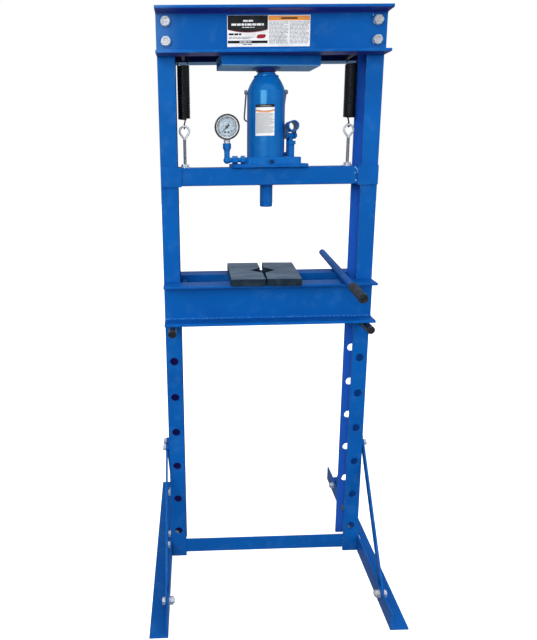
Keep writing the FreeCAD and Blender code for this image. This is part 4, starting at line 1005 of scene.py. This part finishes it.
# ---- handle grip --------------------------------------------------------------------------------
def make_grip():
    """Moulded grip: fluted barrel, plain collars, and an end ring round a dished button."""
    low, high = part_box("handle_tube")
    radius, length = GRIP_R, GRIP_LENGTH
    front = Vector((low.x + TUBE_R * SLANT_COSINE, low.y, centre_of("handle_tube").z))
    back = Vector((high.x - TUBE_R * SLANT_COSINE, high.y, front.z))
    aim = (front - back).normalized()
    end_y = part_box("handle_grip")[0].y + abs(aim.x) * radius
    tip = front + aim * ((end_y - front.y) / aim.y)
    outline = [(radius - 3.2 * MM, 0.0), (radius - 1.2 * MM, 0.2 * MM),
               (radius - 0.4 * MM, 1.4 * MM)]
    outline += [(radius - 0.4 * MM, (3.0 + k * 2.1) * MM) for k in range(45)]
    outline += [(radius - inward * MM, length - short * MM) for inward, short in (
        (0.4, 6.0), (0.0, 5.0), (0.0, 1.4), (0.5, 0.4), (1.6, 0.0),
        (4.2, 0.0), (5.0, 1.2), (6.2, 1.2), (7.2, 0.2))]
    outline += [(r * MM, length - short * MM) for r, short in ((3.4, 0.2), (2.6, 1.0), (2.4, 4.0))]

    def flutes(turn, along):
        inset, outset = (along - 4 * MM) / (4 * MM), (length - 8 * MM - along) / (4 * MM)
        fade = max(0.0, min(1.0, inset, outset))
        return -0.75 * MM * fade * (0.5 + 0.5 * math.cos(turn * GRIP_FLUTES)) ** 2

    points, faces = turned_shape(outline, tip - aim * length, aim, GRIP_FLUTES * 8, flutes)
    made = piece("ribbed_grip", points, faces, grip_rubber, "rubber_black", "jack_handle")
    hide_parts("handle_grip")


# ---- studio -------------------------------------------------------------------------------------
def make_camera():
    ahead = Vector((math.sin(CAMERA_YAW), math.cos(CAMERA_YAW), 0))
    right = Vector((math.cos(CAMERA_YAW), -math.sin(CAMERA_YAW), 0))
    look = ahead * math.cos(CAMERA_PITCH) - Z_AXIS * math.sin(CAMERA_PITCH)
    up = ahead * math.sin(CAMERA_PITCH) + Z_AXIS * math.cos(CAMERA_PITCH)
    side = right * math.cos(CAMERA_ROLL) + up * math.sin(CAMERA_ROLL)
    top = -right * math.sin(CAMERA_ROLL) + up * math.cos(CAMERA_ROLL)
    turn = Matrix((side, top, -look)).transposed().to_4x4()
    data = bpy.data.cameras.new("camera")
    data.sensor_width = 36.0
    data.lens = LENS
    data.shift_x, data.shift_y = SHIFT
    data.clip_start = 0.05
    camera = bpy.data.objects.new("camera", data)
    camera.matrix_world = Matrix.Translation(CAMERA_AT) @ turn
    bpy.context.scene.collection.objects.link(camera)
    bpy.context.scene.camera = camera


def area_light(name, at, target, size, power, mirrored):
    """Soft box. One that is not mirrored lights the piece but leaves no patch of shine on it."""
    data = bpy.data.lights.new(name, "AREA")
    data.shape = "RECTANGLE"
    data.size, data.size_y = size
    data.energy = power
    lamp = bpy.data.objects.new(name, data)
    lamp.location = at
    lamp.rotation_euler = (Vector(target) - Vector(at)).to_track_quat("-Z", "Y").to_euler()
    lamp.visible_glossy = mirrored
    bpy.context.scene.collection.objects.link(lamp)


def make_floor():
    """Large pale floor with a faint, broad unevenness."""
    size, cuts = 9.0, 36
    points = [((i / cuts - 0.5) * 2 * size, (j / cuts - 0.4) * 2 * size, -0.5 * MM)
              for j in range(cuts + 1) for i in range(cuts + 1)]
    corners = [j * (cuts + 1) + i for j in range(cuts) for i in range(cuts)]
    faces = [(a, a + 1, a + cuts + 2, a + cuts + 1) for a in corners]
    mesh = bpy.data.meshes.new("floor")
    mesh.from_pydata(points, [], faces)
    f = Finish("pale_floor", (0.86, 0.86, 0.87), 0.7)
    f.set("Base Color", f.blend(f.fit(f.noise(1.4, 4.0), 0.35, 0.7),
                                (0.85, 0.86, 0.87), (0.90, 0.90, 0.90)))
    f.set("Roughness", f.fit(f.noise(5.0, 4.0), 0.3, 0.7, 0.6, 0.8))
    f.set("Emission Color", (1.0, 1.0, 1.0, 1.0))
    f.set("Emission Strength", FLOOR_GLOW)
    mesh.materials.append(f.material)
    floor = bpy.data.objects.new("floor", mesh)
    bpy.context.scene.collection.objects.link(floor)
    floor.visible_diffuse = False
    floor.visible_glossy = False


def make_world():
    """White room that looks grey in shiny parts, except from above, and dims below the horizon."""
    world = bpy.data.worlds.new("room")
    world.use_nodes = True
    tree = world.node_tree
    sky = tree.nodes["Background"]
    facing = tree.nodes.new("ShaderNodeSeparateXYZ")
    place = tree.nodes.new("ShaderNodeTexCoord")
    tree.links.new(place.outputs["Generated"], facing.inputs[0])

    def ramp(value, low, high, to_low, to_high):
        level = tree.nodes.new("ShaderNodeMapRange")
        for socket, given in zip(level.inputs[1:], (low, high, to_low, to_high)):
            socket.default_value = given
        tree.links.new(value, level.inputs[0])
        return level.outputs[0]

    def choose(share, a, b):
        mixer = tree.nodes.new("ShaderNodeMix")
        for socket, given in zip(mixer.inputs[:1] + mixer.inputs[2:4], (share, a, b)):
            if isinstance(given, bpy.types.NodeSocket):
                tree.links.new(given, socket)
            else:
                socket.default_value = given
        return mixer.outputs[0]

    seen = tree.nodes.new("ShaderNodeLightPath")
    mirrored = ramp(facing.outputs[2], 0.25, 0.85, 0.26, 0.95)
    soft = ramp(facing.outputs[2], -0.25, 0.15, 0.30, 0.50)
    unseen = choose(seen.outputs["Is Glossy Ray"], soft, mirrored)
    tree.links.new(choose(seen.outputs["Is Camera Ray"], unseen, 1.0), sky.inputs["Strength"])
    sky.inputs["Color"].default_value = (1, 1, 1, 1)
    bpy.context.scene.world = world


def make_studio():
    make_camera()
    make_world()
    make_floor()
    for light in LIGHTS:
        area_light(*light)
    bpy.context.scene.view_settings.view_transform = "Standard"


dress_nodes()
for spring_side in (-1, 1):
    make_spring(spring_side)
make_threads()
make_welds()
make_head_label()
make_jack_label()
make_dial()
make_bezel()
make_spatter()
make_grip()
make_studio()
